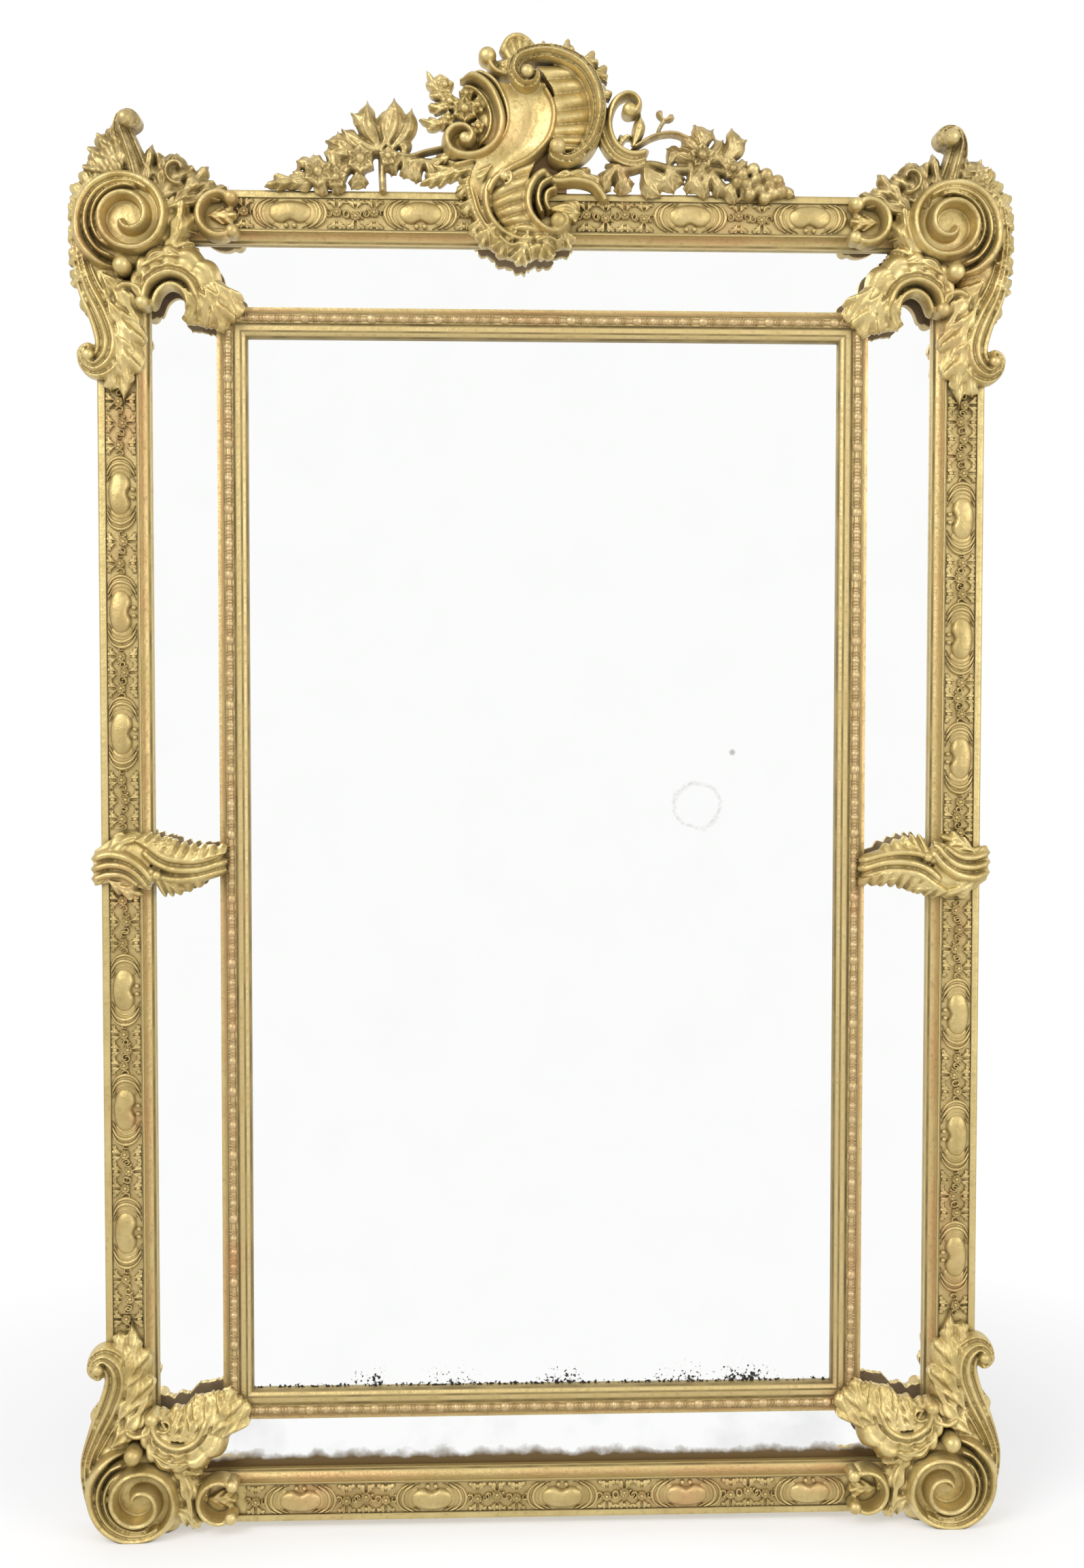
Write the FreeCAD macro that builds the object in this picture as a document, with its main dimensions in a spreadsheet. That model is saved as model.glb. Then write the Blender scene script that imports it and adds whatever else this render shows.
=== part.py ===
import FreeCAD, Part
import math
import os
from types import SimpleNamespace

import Sketcher

Vector = FreeCAD.Vector
Rotation = FreeCAD.Rotation
document = FreeCAD.newDocument("overmantel_mirror")

# Driving dimensions in millimetres. Depths are counted forward from the wall plane.
driving_sizes = {
    # outer frame and its moulding
    "frame_width": 1110,
    "frame_height": 1675,
    "foot_drop": 9,
    "rail_depth": 40,
    "edge_round": 4,
    "outer_fillet": 10,
    "frieze_width": 38,
    "frieze_recess": 3,
    "inner_fillet": 3,
    "cove_width": 10,
    "sight_flat": 3,
    "sight_lip": 8,
    # plates of mirror glass and the boards behind them
    "plate_rebate": 6,
    "plate_thickness": 4,
    "plate_gap": 0.5,
    "board_rebate": 26,
    "board_setback": 2,
    "board_thickness": 12,
    "board_gap": 0.5,
    # inner frame and its beads
    "border_side": 82,
    "border_top": 77,
    "border_bottom": 64,
    "inner_lip": 8,
    "inner_edge": 7,
    "bead_offset": 9,
    "bead_seat": 12,
    "bead_radius": 5,
    "pearl_radius": 6,
    "pearl_pitch": 73,
    "groove_width": 9,
    "groove_depth": 3,
    "sight_fillet": 8,
    "inner_sight_edge": 5,
    # oval cabochons on the frieze strips
    "oval_length": 56,
    "oval_width": 28,
    "oval_rise": 7,
    "oval_rim": 5,
    "oval_rim_rise": 3,
    # carved ornament: one module for each place where it sits
    "overall_depth": 100,
    "corner_module": 100,
    "clasp_module": 100,
    "crest_module": 100,
    "crest_batten_width": 70,
    "crest_batten_height": 140,
    "crest_batten_thickness": 24,
    # iron corner plates
    "iron_leg": 90,
    "iron_width": 18,
    "iron_thickness": 2.5,
    # wood screws
    "screw_radius": 2,
    "screw_head_radius": 4,
    "screw_head_height": 2.5,
    "screw_bite": 10,
    # hangers
    "hanger_drop": 394,
    "hanger_plate_width": 24,
    "hanger_plate_length": 46,
    "hanger_plate_thickness": 3,
    "hanger_recess_margin": 4,
    "knuckle_setback": 2,
    "knuckle_wall": 2,
    "knuckle_length": 12,
    "ring_radius": 13,
    "ring_leg": 14,
    "ring_wire_radius": 2.5,
    "ring_play": 0.05,
    "ring_clearance": 0.3,
}
sheet = document.addObject("Spreadsheet::Sheet", "sizes")
for row, (name, number) in enumerate(driving_sizes.items(), 1):
    sheet.set(f"A{row}", name)
    sheet.set(f"B{row}", str(number))
    sheet.setAlias(f"B{row}", name)
document.recompute()
mm = SimpleNamespace(**{name: float(sheet.get(name)) for name in driving_sizes})

# Places worked out from the driving dimensions
half_width = mm.frame_width / 2
rail_width = mm.outer_fillet + mm.frieze_width + mm.inner_fillet + mm.cove_width + mm.sight_flat
inner_width = mm.bead_offset + mm.bead_seat + mm.groove_width + mm.sight_fillet
frame_bottom = mm.foot_drop
frame_top = frame_bottom + mm.frame_height
frame_middle = (frame_bottom + frame_top) / 2
back_y = mm.overall_depth / 2
board_front = mm.board_setback + mm.board_thickness
plate_front = board_front + mm.plate_thickness
bead_plane = mm.rail_depth - mm.pearl_radius
inner_half_width = half_width - rail_width - mm.border_side
inner_bottom = frame_bottom + rail_width + mm.border_bottom
inner_top = frame_top - rail_width - mm.border_top
ornament_depth = mm.overall_depth - mm.rail_depth

# The same places as expressions on the sheet
HALF = "sizes.frame_width / 2"
BOTTOM = "sizes.foot_drop"
TOP = "(sizes.foot_drop + sizes.frame_height)"
MIDDLE = "(sizes.foot_drop + sizes.frame_height / 2)"
BACK = "sizes.overall_depth / 2"
FRIEZE_END = "(sizes.outer_fillet + sizes.frieze_width)"
FACE_END = f"({FRIEZE_END} + sizes.inner_fillet)"
COVE_END = f"({FACE_END} + sizes.cove_width)"
RAIL_WIDTH = f"({COVE_END} + sizes.sight_flat)"
BOARD_FRONT = "(sizes.board_setback + sizes.board_thickness)"
PLATE_FRONT = f"({BOARD_FRONT} + sizes.plate_thickness)"
SIGHT_DEPTH = f"({PLATE_FRONT} + sizes.sight_lip)"
BEAD_PLANE = "(sizes.rail_depth - sizes.pearl_radius)"
BEAD_END = "(sizes.bead_offset + sizes.bead_seat)"
SIGHT_START = f"({BEAD_END} + sizes.groove_width)"
INNER_WIDTH = f"({SIGHT_START} + sizes.sight_fillet)"
INNER_HALF = f"({HALF} - {RAIL_WIDTH} - sizes.border_side)"
INNER_BOTTOM = f"({BOTTOM} + {RAIL_WIDTH} + sizes.border_bottom)"
INNER_TOP = f"({TOP} - {RAIL_WIDTH} - sizes.border_top)"

nodes = []
shapes = {}


def depth_y(depth):
    """World Y of a depth counted forward from the wall plane."""
    return back_y - depth


def keep(item, label):
    """Give a document object its node name and list it for export."""
    item.Label = label
    nodes.append(item)
    return item


def feature(label, shape):
    """A node whose shape is made with Part's own functions."""
    item = document.addObject("Part::Feature", label)
    item.Shape = shape
    item.Placement = FreeCAD.Placement()
    shapes[label] = shape
    return keep(item, label)


def evaluate(expression):
    """Number that an expression on the sheet gives now."""
    if expression == "0":
        return 0.0
    return float(sheet.evalExpression(expression))


def origin_plane(body, role):
    """One of a body's own origin planes."""
    return [plane for plane in body.Origin.OriginFeatures if plane.Role == role][0]


def bound_sketch(body, name, role, corners, arcs=None):
    """Closed sketch whose corners, and arc radii, are bound to the sheet.

    corners are pairs of expressions. arcs maps the index of a side to (radius expression, bulge), and a
    bulge of 1 puts the arc on the left of the direction of travel, -1 on its right.
    """
    arcs = arcs or {}
    sketch = body.newObject("Sketcher::SketchObject", name)
    sketch.AttachmentSupport = (origin_plane(body, role), "")
    sketch.MapMode = "FlatFace"
    points = [Vector(evaluate(across), evaluate(forward), 0) for across, forward in corners]
    count = len(points)
    starts = []
    ends = []
    for index, start in enumerate(points):
        end = points[(index + 1) % count]
        first, last = 1, 2
        if index in arcs:
            radius = evaluate(arcs[index][0])
            chord = end - start
            half_chord = chord.Length / 2
            rise = radius - math.sqrt(radius ** 2 - half_chord ** 2)
            left = Vector(-chord.y, chord.x, 0) / chord.Length
            middle = (start + end) / 2 + left * rise * arcs[index][1]
            if arcs[index][1] > 0:
                curve = Part.ArcOfCircle(end, middle, start)
                first, last = 2, 1
            else:
                curve = Part.ArcOfCircle(start, middle, end)
        else:
            curve = Part.LineSegment(start, end)
        sketch.addGeometry(curve, False)
        starts.append(first)
        ends.append(last)
    for index in range(count):
        following = (index + 1) % count
        sketch.addConstraint(
            Sketcher.Constraint("Coincident", index, ends[index], following, starts[following]))
    for index, pair in enumerate(corners):
        for letter, axis, expression in (("X", -2, pair[0]), ("Y", -1, pair[1])):
            if expression == "0":
                sketch.addConstraint(Sketcher.Constraint("PointOnObject", index, starts[index], axis))
                continue
            distance = evaluate(expression)
            number = sketch.addConstraint(
                Sketcher.Constraint("Distance" + letter, -1, 1, index, starts[index], distance))
            sketch.setExpression(f"Constraints[{number}]", expression)
    for index, (radius, bulge) in arcs.items():
        number = sketch.addConstraint(Sketcher.Constraint("Radius", index, evaluate(radius)))
        sketch.setExpression(f"Constraints[{number}]", radius)
    return sketch


def place(item, turn, across, deep, up):
    """Turn an object and bind its place to the sheet."""
    item.Placement = FreeCAD.Placement(Vector(), turn)
    item.setExpression("Placement.Base.x", across)
    item.setExpression("Placement.Base.y", deep)
    item.setExpression("Placement.Base.z", up)


# Turns that lay a moulding's section (outer edge to inner edge, back to front) along each side
INTO_LEFT = Rotation(Vector(1, 0, 0), Vector(0, -1, 0), Vector(0, 0, -1), "XYZ")
INTO_RIGHT = Rotation(Vector(-1, 0, 0), Vector(0, -1, 0), Vector(0, 0, 1), "XYZ")
INTO_TOP = Rotation(Vector(0, 0, -1), Vector(0, -1, 0), Vector(-1, 0, 0), "XYZ")
INTO_BOTTOM = Rotation(Vector(0, 0, 1), Vector(0, -1, 0), Vector(1, 0, 0), "XYZ")


def moulding(name, corners, arcs, width, length, turn, across, up):
    """Length of moulding with both ends mitred, laid along one side of a frame."""
    body = document.addObject("PartDesign::Body", name)
    section = bound_sketch(body, name + "_section", "XY_Plane", corners, arcs)
    run = body.newObject("PartDesign::Pad", name + "_run")
    run.Profile = section
    run.setExpression("Length", length)
    document.recompute()
    whole = body.Shape.Volume
    near = [("0", "0"), (width, "0"), (width, width)]
    far = [("0", length), (width, length), (width, f"{length} - {width}")]
    for end, triangle in (("near", near), ("far", far)):
        mitre = bound_sketch(body, f"{name}_{end}_line", "XZ_Plane", triangle)
        cut = body.newObject("PartDesign::Pocket", f"{name}_{end}_mitre")
        cut.Profile = mitre
        cut.Type = "ThroughAll"
        cut.SideType = "Symmetric"
        document.recompute()
    if not body.Shape.Volume < whole:
        raise ValueError(name + " has no mitres")
    place(body, turn, across, BACK, up)
    document.recompute()
    return body


# Section of the outer moulding: edge, frieze recess between two fillets, cove, sight edge, two rebates
outer_section = [
    ("0", "0"),
    ("0", "sizes.rail_depth - sizes.edge_round"),
    ("sizes.edge_round", "sizes.rail_depth"),
    ("sizes.outer_fillet", "sizes.rail_depth"),
    ("sizes.outer_fillet", "sizes.rail_depth - sizes.frieze_recess"),
    (FRIEZE_END, "sizes.rail_depth - sizes.frieze_recess"),
    (FRIEZE_END, "sizes.rail_depth"),
    (FACE_END, "sizes.rail_depth"),
    (COVE_END, SIGHT_DEPTH),
    (RAIL_WIDTH, SIGHT_DEPTH),
    (RAIL_WIDTH, PLATE_FRONT),
    (f"{RAIL_WIDTH} - sizes.plate_rebate", PLATE_FRONT),
    (f"{RAIL_WIDTH} - sizes.plate_rebate", BOARD_FRONT),
    (f"{RAIL_WIDTH} - sizes.board_rebate", BOARD_FRONT),
    (f"{RAIL_WIDTH} - sizes.board_rebate", "0"),
]
cove_radius_share = 0.75
outer_arcs = {
    1: ("sizes.edge_round", 1),
    7: (f"{cove_radius_share} * hypot(sizes.cove_width; sizes.rail_depth - {SIGHT_DEPTH})", -1),
}

# Section of the inner moulding: tongue between the plates, two lips, cove, bead seat, sight fillet
SIGHT_PLANE = f"({BEAD_PLANE} - sizes.groove_depth)"
INNER_EDGE = f"({PLATE_FRONT} + sizes.inner_edge)"
INNER_SIGHT = f"({PLATE_FRONT} + sizes.inner_sight_edge)"
inner_section = [
    ("sizes.inner_lip", BOARD_FRONT),
    ("sizes.inner_lip", PLATE_FRONT),
    ("0", PLATE_FRONT),
    ("0", INNER_EDGE),
    ("sizes.bead_offset", BEAD_PLANE),
    (BEAD_END, BEAD_PLANE),
    (BEAD_END, SIGHT_PLANE),
    (SIGHT_START, SIGHT_PLANE),
    (INNER_WIDTH, INNER_SIGHT),
    (INNER_WIDTH, PLATE_FRONT),
    (f"{INNER_WIDTH} - sizes.inner_lip", PLATE_FRONT),
    (f"{INNER_WIDTH} - sizes.inner_lip", BOARD_FRONT),
]
round_radius_share = 0.8
inner_arcs = {
    3: (f"{round_radius_share} * hypot(sizes.bead_offset; {BEAD_PLANE} - {INNER_EDGE})", -1),
    7: (f"{round_radius_share} * hypot(sizes.sight_fillet; {SIGHT_PLANE} - {INNER_SIGHT})", 1),
}

outer_sides = {
    "stile_left": ("sizes.frame_height", INTO_LEFT, f"-{HALF}", TOP),
    "stile_right": ("sizes.frame_height", INTO_RIGHT, HALF, BOTTOM),
    "rail_top": ("sizes.frame_width", INTO_TOP, HALF, TOP),
    "rail_bottom": ("sizes.frame_width", INTO_BOTTOM, f"-{HALF}", BOTTOM),
}
INNER_HEIGHT = f"({INNER_TOP} - {INNER_BOTTOM})"
inner_sides = {
    "inner_stile_left": (INNER_HEIGHT, INTO_LEFT, f"-{INNER_HALF}", INNER_TOP),
    "inner_stile_right": (INNER_HEIGHT, INTO_RIGHT, INNER_HALF, INNER_BOTTOM),
    "inner_rail_top": (f"2 * {INNER_HALF}", INTO_TOP, INNER_HALF, INNER_TOP),
    "inner_rail_bottom": (f"2 * {INNER_HALF}", INTO_BOTTOM, f"-{INNER_HALF}", INNER_BOTTOM),
}
blanks = {}
for name, (length, turn, across, up) in outer_sides.items():
    blanks[name] = moulding(
        name + "_blank", outer_section, outer_arcs, RAIL_WIDTH, length, turn, across, up)
for name, (length, turn, across, up) in inner_sides.items():
    blanks[name] = moulding(
        name + "_blank", inner_section, inner_arcs, INNER_WIDTH, length, turn, across, up)


def mirror_plate(label, corners):
    """Plate of mirror glass from the corners of its outline, lying on the boards."""
    body = document.addObject("PartDesign::Body", label)
    outline = bound_sketch(body, label + "_outline", "XZ_Plane", corners)
    pane = body.newObject("PartDesign::Pad", label + "_pane")
    pane.Profile = outline
    pane.setExpression("Length", "sizes.plate_thickness")
    place(body, Rotation(), "0", f"{BACK} - {BOARD_FRONT}", "0")
    document.recompute()
    front = depth_y(plate_front)
    if abs(body.Shape.BoundBox.YMin - front) > mm.plate_gap:
        pane.Reversed = True
        document.recompute()
    return keep(body, label)


# Border plates are mitred under the corner shells and meet behind the clasps at mid height
OUT = "sizes.plate_rebate - sizes.plate_gap"
IN = "sizes.inner_lip - sizes.plate_gap"
plate_left_out = f"-({HALF} - {RAIL_WIDTH} + {OUT})"
plate_right_out = f"({HALF} - {RAIL_WIDTH} + {OUT})"
plate_top_out = f"({TOP} - {RAIL_WIDTH} + {OUT})"
plate_bottom_out = f"({BOTTOM} + {RAIL_WIDTH} - ({OUT}))"
plate_left_in = f"-({INNER_HALF} - ({IN}))"
plate_right_in = f"({INNER_HALF} - ({IN}))"
plate_top_in = f"({INNER_TOP} - ({IN}))"
plate_bottom_in = f"({INNER_BOTTOM} + {IN})"
mirror_plate("border_plate_top", [
    (plate_left_out, plate_top_out), (plate_right_out, plate_top_out),
    (plate_right_in, plate_top_in), (plate_left_in, plate_top_in)])
mirror_plate("border_plate_bottom", [
    (plate_left_out, plate_bottom_out), (plate_right_out, plate_bottom_out),
    (plate_right_in, plate_bottom_in), (plate_left_in, plate_bottom_in)])
for side, outer_x, inner_x in (
        ("left", plate_left_out, plate_left_in), ("right", plate_right_out, plate_right_in)):
    mirror_plate(f"border_plate_{side}_upper", [
        (outer_x, plate_top_out), (inner_x, plate_top_in), (inner_x, MIDDLE), (outer_x, MIDDLE)])
    mirror_plate(f"border_plate_{side}_lower", [
        (outer_x, plate_bottom_out), (inner_x, plate_bottom_in), (inner_x, MIDDLE), (outer_x, MIDDLE)])
CENTRE_IN = f"({INNER_WIDTH} - sizes.inner_lip + sizes.plate_gap)"
mirror_plate("centre_plate", [
    (f"-({INNER_HALF} - {CENTRE_IN})", f"{INNER_BOTTOM} + {CENTRE_IN}"),
    (f"{INNER_HALF} - {CENTRE_IN}", f"{INNER_BOTTOM} + {CENTRE_IN}"),
    (f"{INNER_HALF} - {CENTRE_IN}", f"{INNER_TOP} - {CENTRE_IN}"),
    (f"-({INNER_HALF} - {CENTRE_IN})", f"{INNER_TOP} - {CENTRE_IN}")])


# Carved ornament. Every motif is a prism that stands on the front of the mouldings, and its places,
# widths and rise are shares: places and widths of a module, the rise of the room before the mouldings.
FORWARD = Vector(0, -1, 0)
quarter_turn = 90
half_turn = 180
full_turn = 360


def at(point, depth):
    """Point of a front view, (x, z), at a depth."""
    return Vector(point[0], depth_y(depth), point[1])


def front_depth(rise_share):
    """Depth of a motif's front."""
    return mm.rail_depth + rise_share * ornament_depth


def prism(edges, rise_share):
    """Solid over a closed outline, from the front of the mouldings to its own front."""
    face = Part.Face(Part.Wire(edges))
    return face.extrude(FORWARD * (front_depth(rise_share) - mm.rail_depth))


def spline(points, closed=False):
    """Smooth edge through a few points."""
    curve = Part.BSplineCurve()
    curve.interpolate(points, PeriodicFlag=closed)
    return curve.toShape()


def band(path_points, start_width, end_width, rise_share):
    """Scroll band along a smooth path, tapering from one width to the other."""
    path = Part.BSplineCurve()
    path.interpolate(path_points)
    first, last = path.FirstParameter, path.LastParameter
    steps_for_each_point = 3
    steps = steps_for_each_point * (len(path_points) - 1)
    left = []
    right = []
    for step in range(steps + 1):
        share = step / steps
        parameter = first + (last - first) * share
        normal = path.tangent(parameter)[0].cross(FORWARD)
        half = (start_width + (end_width - start_width) * share) / 2
        left.append(path.value(parameter) + normal * half)
        right.append(path.value(parameter) - normal * half)
    edges = [
        spline(left),
        Part.makeLine(left[-1], right[-1]),
        spline(right[::-1]),
        Part.makeLine(right[0], left[0]),
    ]
    return prism(edges, rise_share)


def leaf(base, tip, width, rise_share):
    """Pointed leaf with an arc for each edge."""
    side = (tip - base).normalize().cross(FORWARD) * width / 2
    middle = (base + tip) / 2
    edges = [
        Part.Arc(base, middle + side, tip).toShape(),
        Part.Arc(tip, middle - side, base).toShape(),
    ]
    return prism(edges, rise_share)


def boss(centre, radius, rise_share):
    """Round bead or bud: a short stem with a domed front."""
    stem = front_depth(rise_share) - mm.rail_depth - radius
    stalk = Part.makeCylinder(radius, stem, centre, FORWARD)
    dome = Part.makeSphere(radius, centre + FORWARD * stem, FORWARD, 0, quarter_turn, full_turn)
    return stalk.fuse(dome).removeSplitter()


def fan(centre, radius, from_degrees, to_degrees, flutes, rise_share):
    """Fluted fan with a scalloped rim."""
    swell_share = 1.08
    turn = math.radians(to_degrees - from_degrees) / flutes
    start = math.radians(from_degrees)

    def rim(angle, reach):
        return centre + Vector(math.cos(angle), 0, math.sin(angle)) * reach

    edges = [Part.makeLine(centre, rim(start, radius))]
    for flute in range(flutes):
        angle = start + flute * turn
        crown = rim(angle + turn / 2, radius * swell_share)
        edges.append(Part.Arc(rim(angle, radius), crown, rim(angle + turn, radius)).toShape())
    edges.append(Part.makeLine(rim(start + flutes * turn, radius), centre))
    return prism(edges, rise_share)


def carve(motif_shares, spot, module):
    """Solids of a list of motifs.

    A motif starts with its kind: band (path, start width, end width, rise), leaf (base, tip, width, rise),
    plate (outline, rise), disc or boss (centre, radius, rise), fan (centre, radius, from, to, flutes, rise).
    spot turns a pair of shares into a place (x, z) of the front view.
    """
    def seat(pair):
        return at(spot(pair), mm.rail_depth)

    solids = []
    for kind, *values in motif_shares:
        if kind == "band":
            path, start, end, rise = values
            solids.append(band([seat(pair) for pair in path], start * module, end * module, rise))
        elif kind == "leaf":
            base, tip, width, rise = values
            solids.append(leaf(seat(base), seat(tip), width * module, rise))
        elif kind == "plate":
            outline, rise = values
            solids.append(prism([spline([seat(pair) for pair in outline], True)], rise))
        elif kind == "disc":
            centre, radius, rise = values
            height = front_depth(rise) - mm.rail_depth
            solids.append(Part.makeCylinder(radius * module, height, seat(centre), FORWARD))
        elif kind == "boss":
            centre, radius, rise = values
            solids.append(boss(seat(centre), radius * module, rise))
        elif kind == "fan":
            centre, radius, start, end, flutes, rise = values
            solids.append(fan(seat(centre), radius * module, start, end, flutes, rise))
    return solids


def ornament(label, motifs, clear_of=()):
    """One cast ornament from its motifs, trimmed where it meets those that are already in place."""
    shape = motifs[0].multiFuse(motifs[1:]).removeSplitter()
    for other in clear_of:
        shape = shape.cut(shapes[other])
    largest = max(shape.Solids, key=lambda solid: solid.Volume)
    return feature(label, largest)


# Corner ornaments in shares of the corner module: inward from the frame's side, then away from its top or foot
volute_shares = [
    ("band", [(-0.04, 1.55), (-0.15, 1.15), (-0.18, 0.75), (-0.06, 0.33), (0.20, 0.07), (0.50, 0.00),
              (0.80, 0.12), (0.94, 0.42), (0.84, 0.72)], 0.16, 0.14, 0.72),
    ("band", [(0.44, 1.14), (0.20, 1.06), (0.02, 0.82), (0.00, 0.50), (0.14, 0.22), (0.42, 0.10)],
     0.12, 0.18, 0.80),
    ("disc", (0.42, 0.50), 0.56, 0.45),
    ("disc", (0.51, 0.45), 0.38, 0.88),
    ("boss", (0.51, 0.45), 0.16, 1.0),
    ("boss", (0.43, 1.02), 0.13, 0.90),
    ("plate", [(-0.06, 1.30), (0.00, 1.90), (0.02, 2.30), (0.28, 2.62), (0.52, 2.42), (0.58, 1.90),
               (0.60, 1.30), (0.30, 0.95)], 0.40),
    ("band", [(0.10, 2.36), (-0.04, 2.30), (-0.12, 2.16), (-0.06, 2.04), (0.08, 2.02)], 0.10, 0.08, 0.50),
    ("leaf", (0.88, 0.30), (1.22, 0.48), 0.20, 0.35),
    ("leaf", (0.86, 0.50), (1.18, 0.26), 0.20, 0.35),
]
plume_shares = [
    ("leaf", (0.20, 0.70), (-0.30, 0.62), 0.24, 0.55),
    ("leaf", (0.20, 0.55), (-0.27, 0.18), 0.24, 0.55),
    ("leaf", (0.22, 0.40), (-0.14, -0.06), 0.24, 0.55),
    ("leaf", (0.30, 0.30), (0.06, -0.38), 0.24, 0.55),
    ("leaf", (0.36, 0.20), (0.15, -0.58), 0.24, 0.55),
]
shell_shares = [
    ("plate", [(0.66, 0.92), (0.98, 0.86), (1.34, 0.78), (1.56, 0.92), (1.68, 1.14), (1.77, 1.38),
               (1.76, 1.60), (1.58, 1.70), (1.40, 1.60), (1.28, 1.74), (1.10, 1.72), (1.04, 1.46),
               (0.88, 1.44), (0.76, 1.60), (0.64, 1.46), (0.62, 1.18)], 0.30),
    ("band", [(0.70, 1.34), (0.80, 1.10), (1.02, 1.02), (1.24, 1.12), (1.34, 1.34)], 0.14, 0.12, 0.55),
    ("boss", (0.70, 1.34), 0.08, 0.60),
    ("boss", (1.34, 1.34), 0.08, 0.60),
]
finial_shares = [
    ("band", [(0.52, 0.06), (0.40, -0.22), (0.34, -0.52), (0.44, -0.76), (0.60, -0.74)], 0.30, 0.16, 0.62),
    ("boss", (0.56, -0.64), 0.14, 0.78),
    ("boss", (1.03, -0.17), 0.18, 0.50),
    ("leaf", (0.56, 0.04), (0.74, -0.48), 0.16, 0.50),
    ("leaf", (0.75, 0.20), (1.02, -0.40), 0.26, 0.42),
    ("leaf", (0.90, 0.20), (1.44, -0.25), 0.26, 0.42),
    ("leaf", (1.00, 0.25), (1.64, -0.03), 0.26, 0.42),
    ("plate", [(0.46, 0.02), (0.80, 0.12), (1.10, 0.20), (0.90, -0.10), (0.66, -0.14)], 0.38),
]
clasp_centre_shares = {1: (1.54, 0.33), -1: (1.42, 0.33)}
clasp_reach_share = 0.26
clasp_open_degrees = 60
clasp_step_degrees = 40
foot_pad_shares = (0.28, 0.76)
foot_rise_share = 0.7
corners = {
    "top_left": (-1, 1),
    "top_right": (1, 1),
    "bottom_left": (-1, -1),
    "bottom_right": (1, -1),
}


def clasp_shares(level):
    """C round a point of the rail, open towards the middle, with a curled end above and below."""
    centre = clasp_centre_shares[level]
    path = []
    for degrees in range(clasp_open_degrees, full_turn - clasp_open_degrees + 1, clasp_step_degrees):
        angle = math.radians(degrees)
        path.append((
            centre[0] + clasp_reach_share * math.cos(angle), centre[1] + clasp_reach_share * math.sin(angle)))
    return [
        ("band", path, 0.10, 0.10, 0.40),
        ("boss", path[0], 0.07, 0.45),
        ("boss", path[-1], 0.07, 0.45),
    ]


def foot_pad(spot):
    """Flat foot under the rail, from the wall plane to the front of the volute's scroll."""
    ends = sorted(spot((share, 0))[0] for share in foot_pad_shares)
    front = front_depth(foot_rise_share)
    return Part.makeBox(ends[1] - ends[0], front, frame_bottom, Vector(ends[0], depth_y(front), 0))


for corner, (side, level) in corners.items():
    edge = frame_top if level > 0 else frame_bottom

    def corner_spot(pair):
        inward, downward = [share * mm.corner_module for share in pair]
        return (side * (half_width - inward), edge - level * downward)

    volute = carve(volute_shares, corner_spot, mm.corner_module)
    if level > 0:
        volute += carve(plume_shares, corner_spot, mm.corner_module)
    else:
        volute.append(foot_pad(corner_spot))
    ornament("corner_volute_" + corner, volute)
    ornament("corner_shell_" + corner, carve(shell_shares, corner_spot, mm.corner_module),
             ["corner_volute_" + corner])
    ornament("rail_clasp_" + corner, carve(clasp_shares(level), corner_spot, mm.corner_module),
             ["corner_volute_" + corner, "corner_shell_" + corner])
    if level > 0:
        ornament("corner_finial_" + corner, carve(finial_shares, corner_spot, mm.corner_module),
                 ["corner_volute_" + corner, "rail_clasp_" + corner])


# Clasps at mid height in shares of the clasp module, from the stile's outer edge towards the middle.
# The right one is the left one turned half round.
mid_clasp_shares = [
    ("plate", [(0.60, 0.40), (0.74, 0.46), (1.00, 0.36), (1.30, 0.34), (1.52, 0.36), (1.62, 0.10),
               (1.56, -0.04), (1.30, -0.10), (1.05, -0.12), (0.86, -0.24), (0.66, -0.22)], 0.22),
    ("band", [(-0.08, 0.02), (0.14, 0.20), (0.40, 0.18), (0.66, -0.08)], 0.15, 0.13, 0.34),
    ("band", [(-0.06, -0.12), (0.14, 0.05), (0.38, 0.02), (0.64, -0.24)], 0.15, 0.13, 0.34),
    ("band", [(-0.02, 0.22), (0.20, 0.34), (0.44, 0.30), (0.68, 0.12)], 0.15, 0.13, 0.34),
    ("band", [(0.66, 0.24), (0.92, 0.06), (1.20, 0.02), (1.46, 0.12)], 0.12, 0.08, 0.36),
]
edge_wrap_reach_share = 0.10
edge_wrap_half_share = 0.24
edge_wrap_rise_share = 0.2
for side_name, side in (("left", -1), ("right", 1)):

    def clasp_spot(pair):
        inward, upward = [share * mm.clasp_module for share in pair]
        return (side * (half_width - inward), frame_middle - side * upward)

    wrap_reach = edge_wrap_reach_share * mm.clasp_module
    wrap_half = edge_wrap_half_share * mm.clasp_module
    wrap_front = front_depth(edge_wrap_rise_share)
    wrap_start = half_width if side > 0 else -half_width - wrap_reach
    edge_wrap = Part.makeBox(
        wrap_reach, wrap_front - board_front, 2 * wrap_half,
        Vector(wrap_start, depth_y(wrap_front), frame_middle - wrap_half))
    motifs = carve(mid_clasp_shares, clasp_spot, mm.clasp_module) + [edge_wrap]
    ornament("mid_clasp_" + side_name, motifs)


# Crest in shares of the crest module, from the middle of the top rail's upper edge
def crest_spot(pair):
    return (pair[0] * mm.crest_module, frame_top + pair[1] * mm.crest_module)


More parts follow.
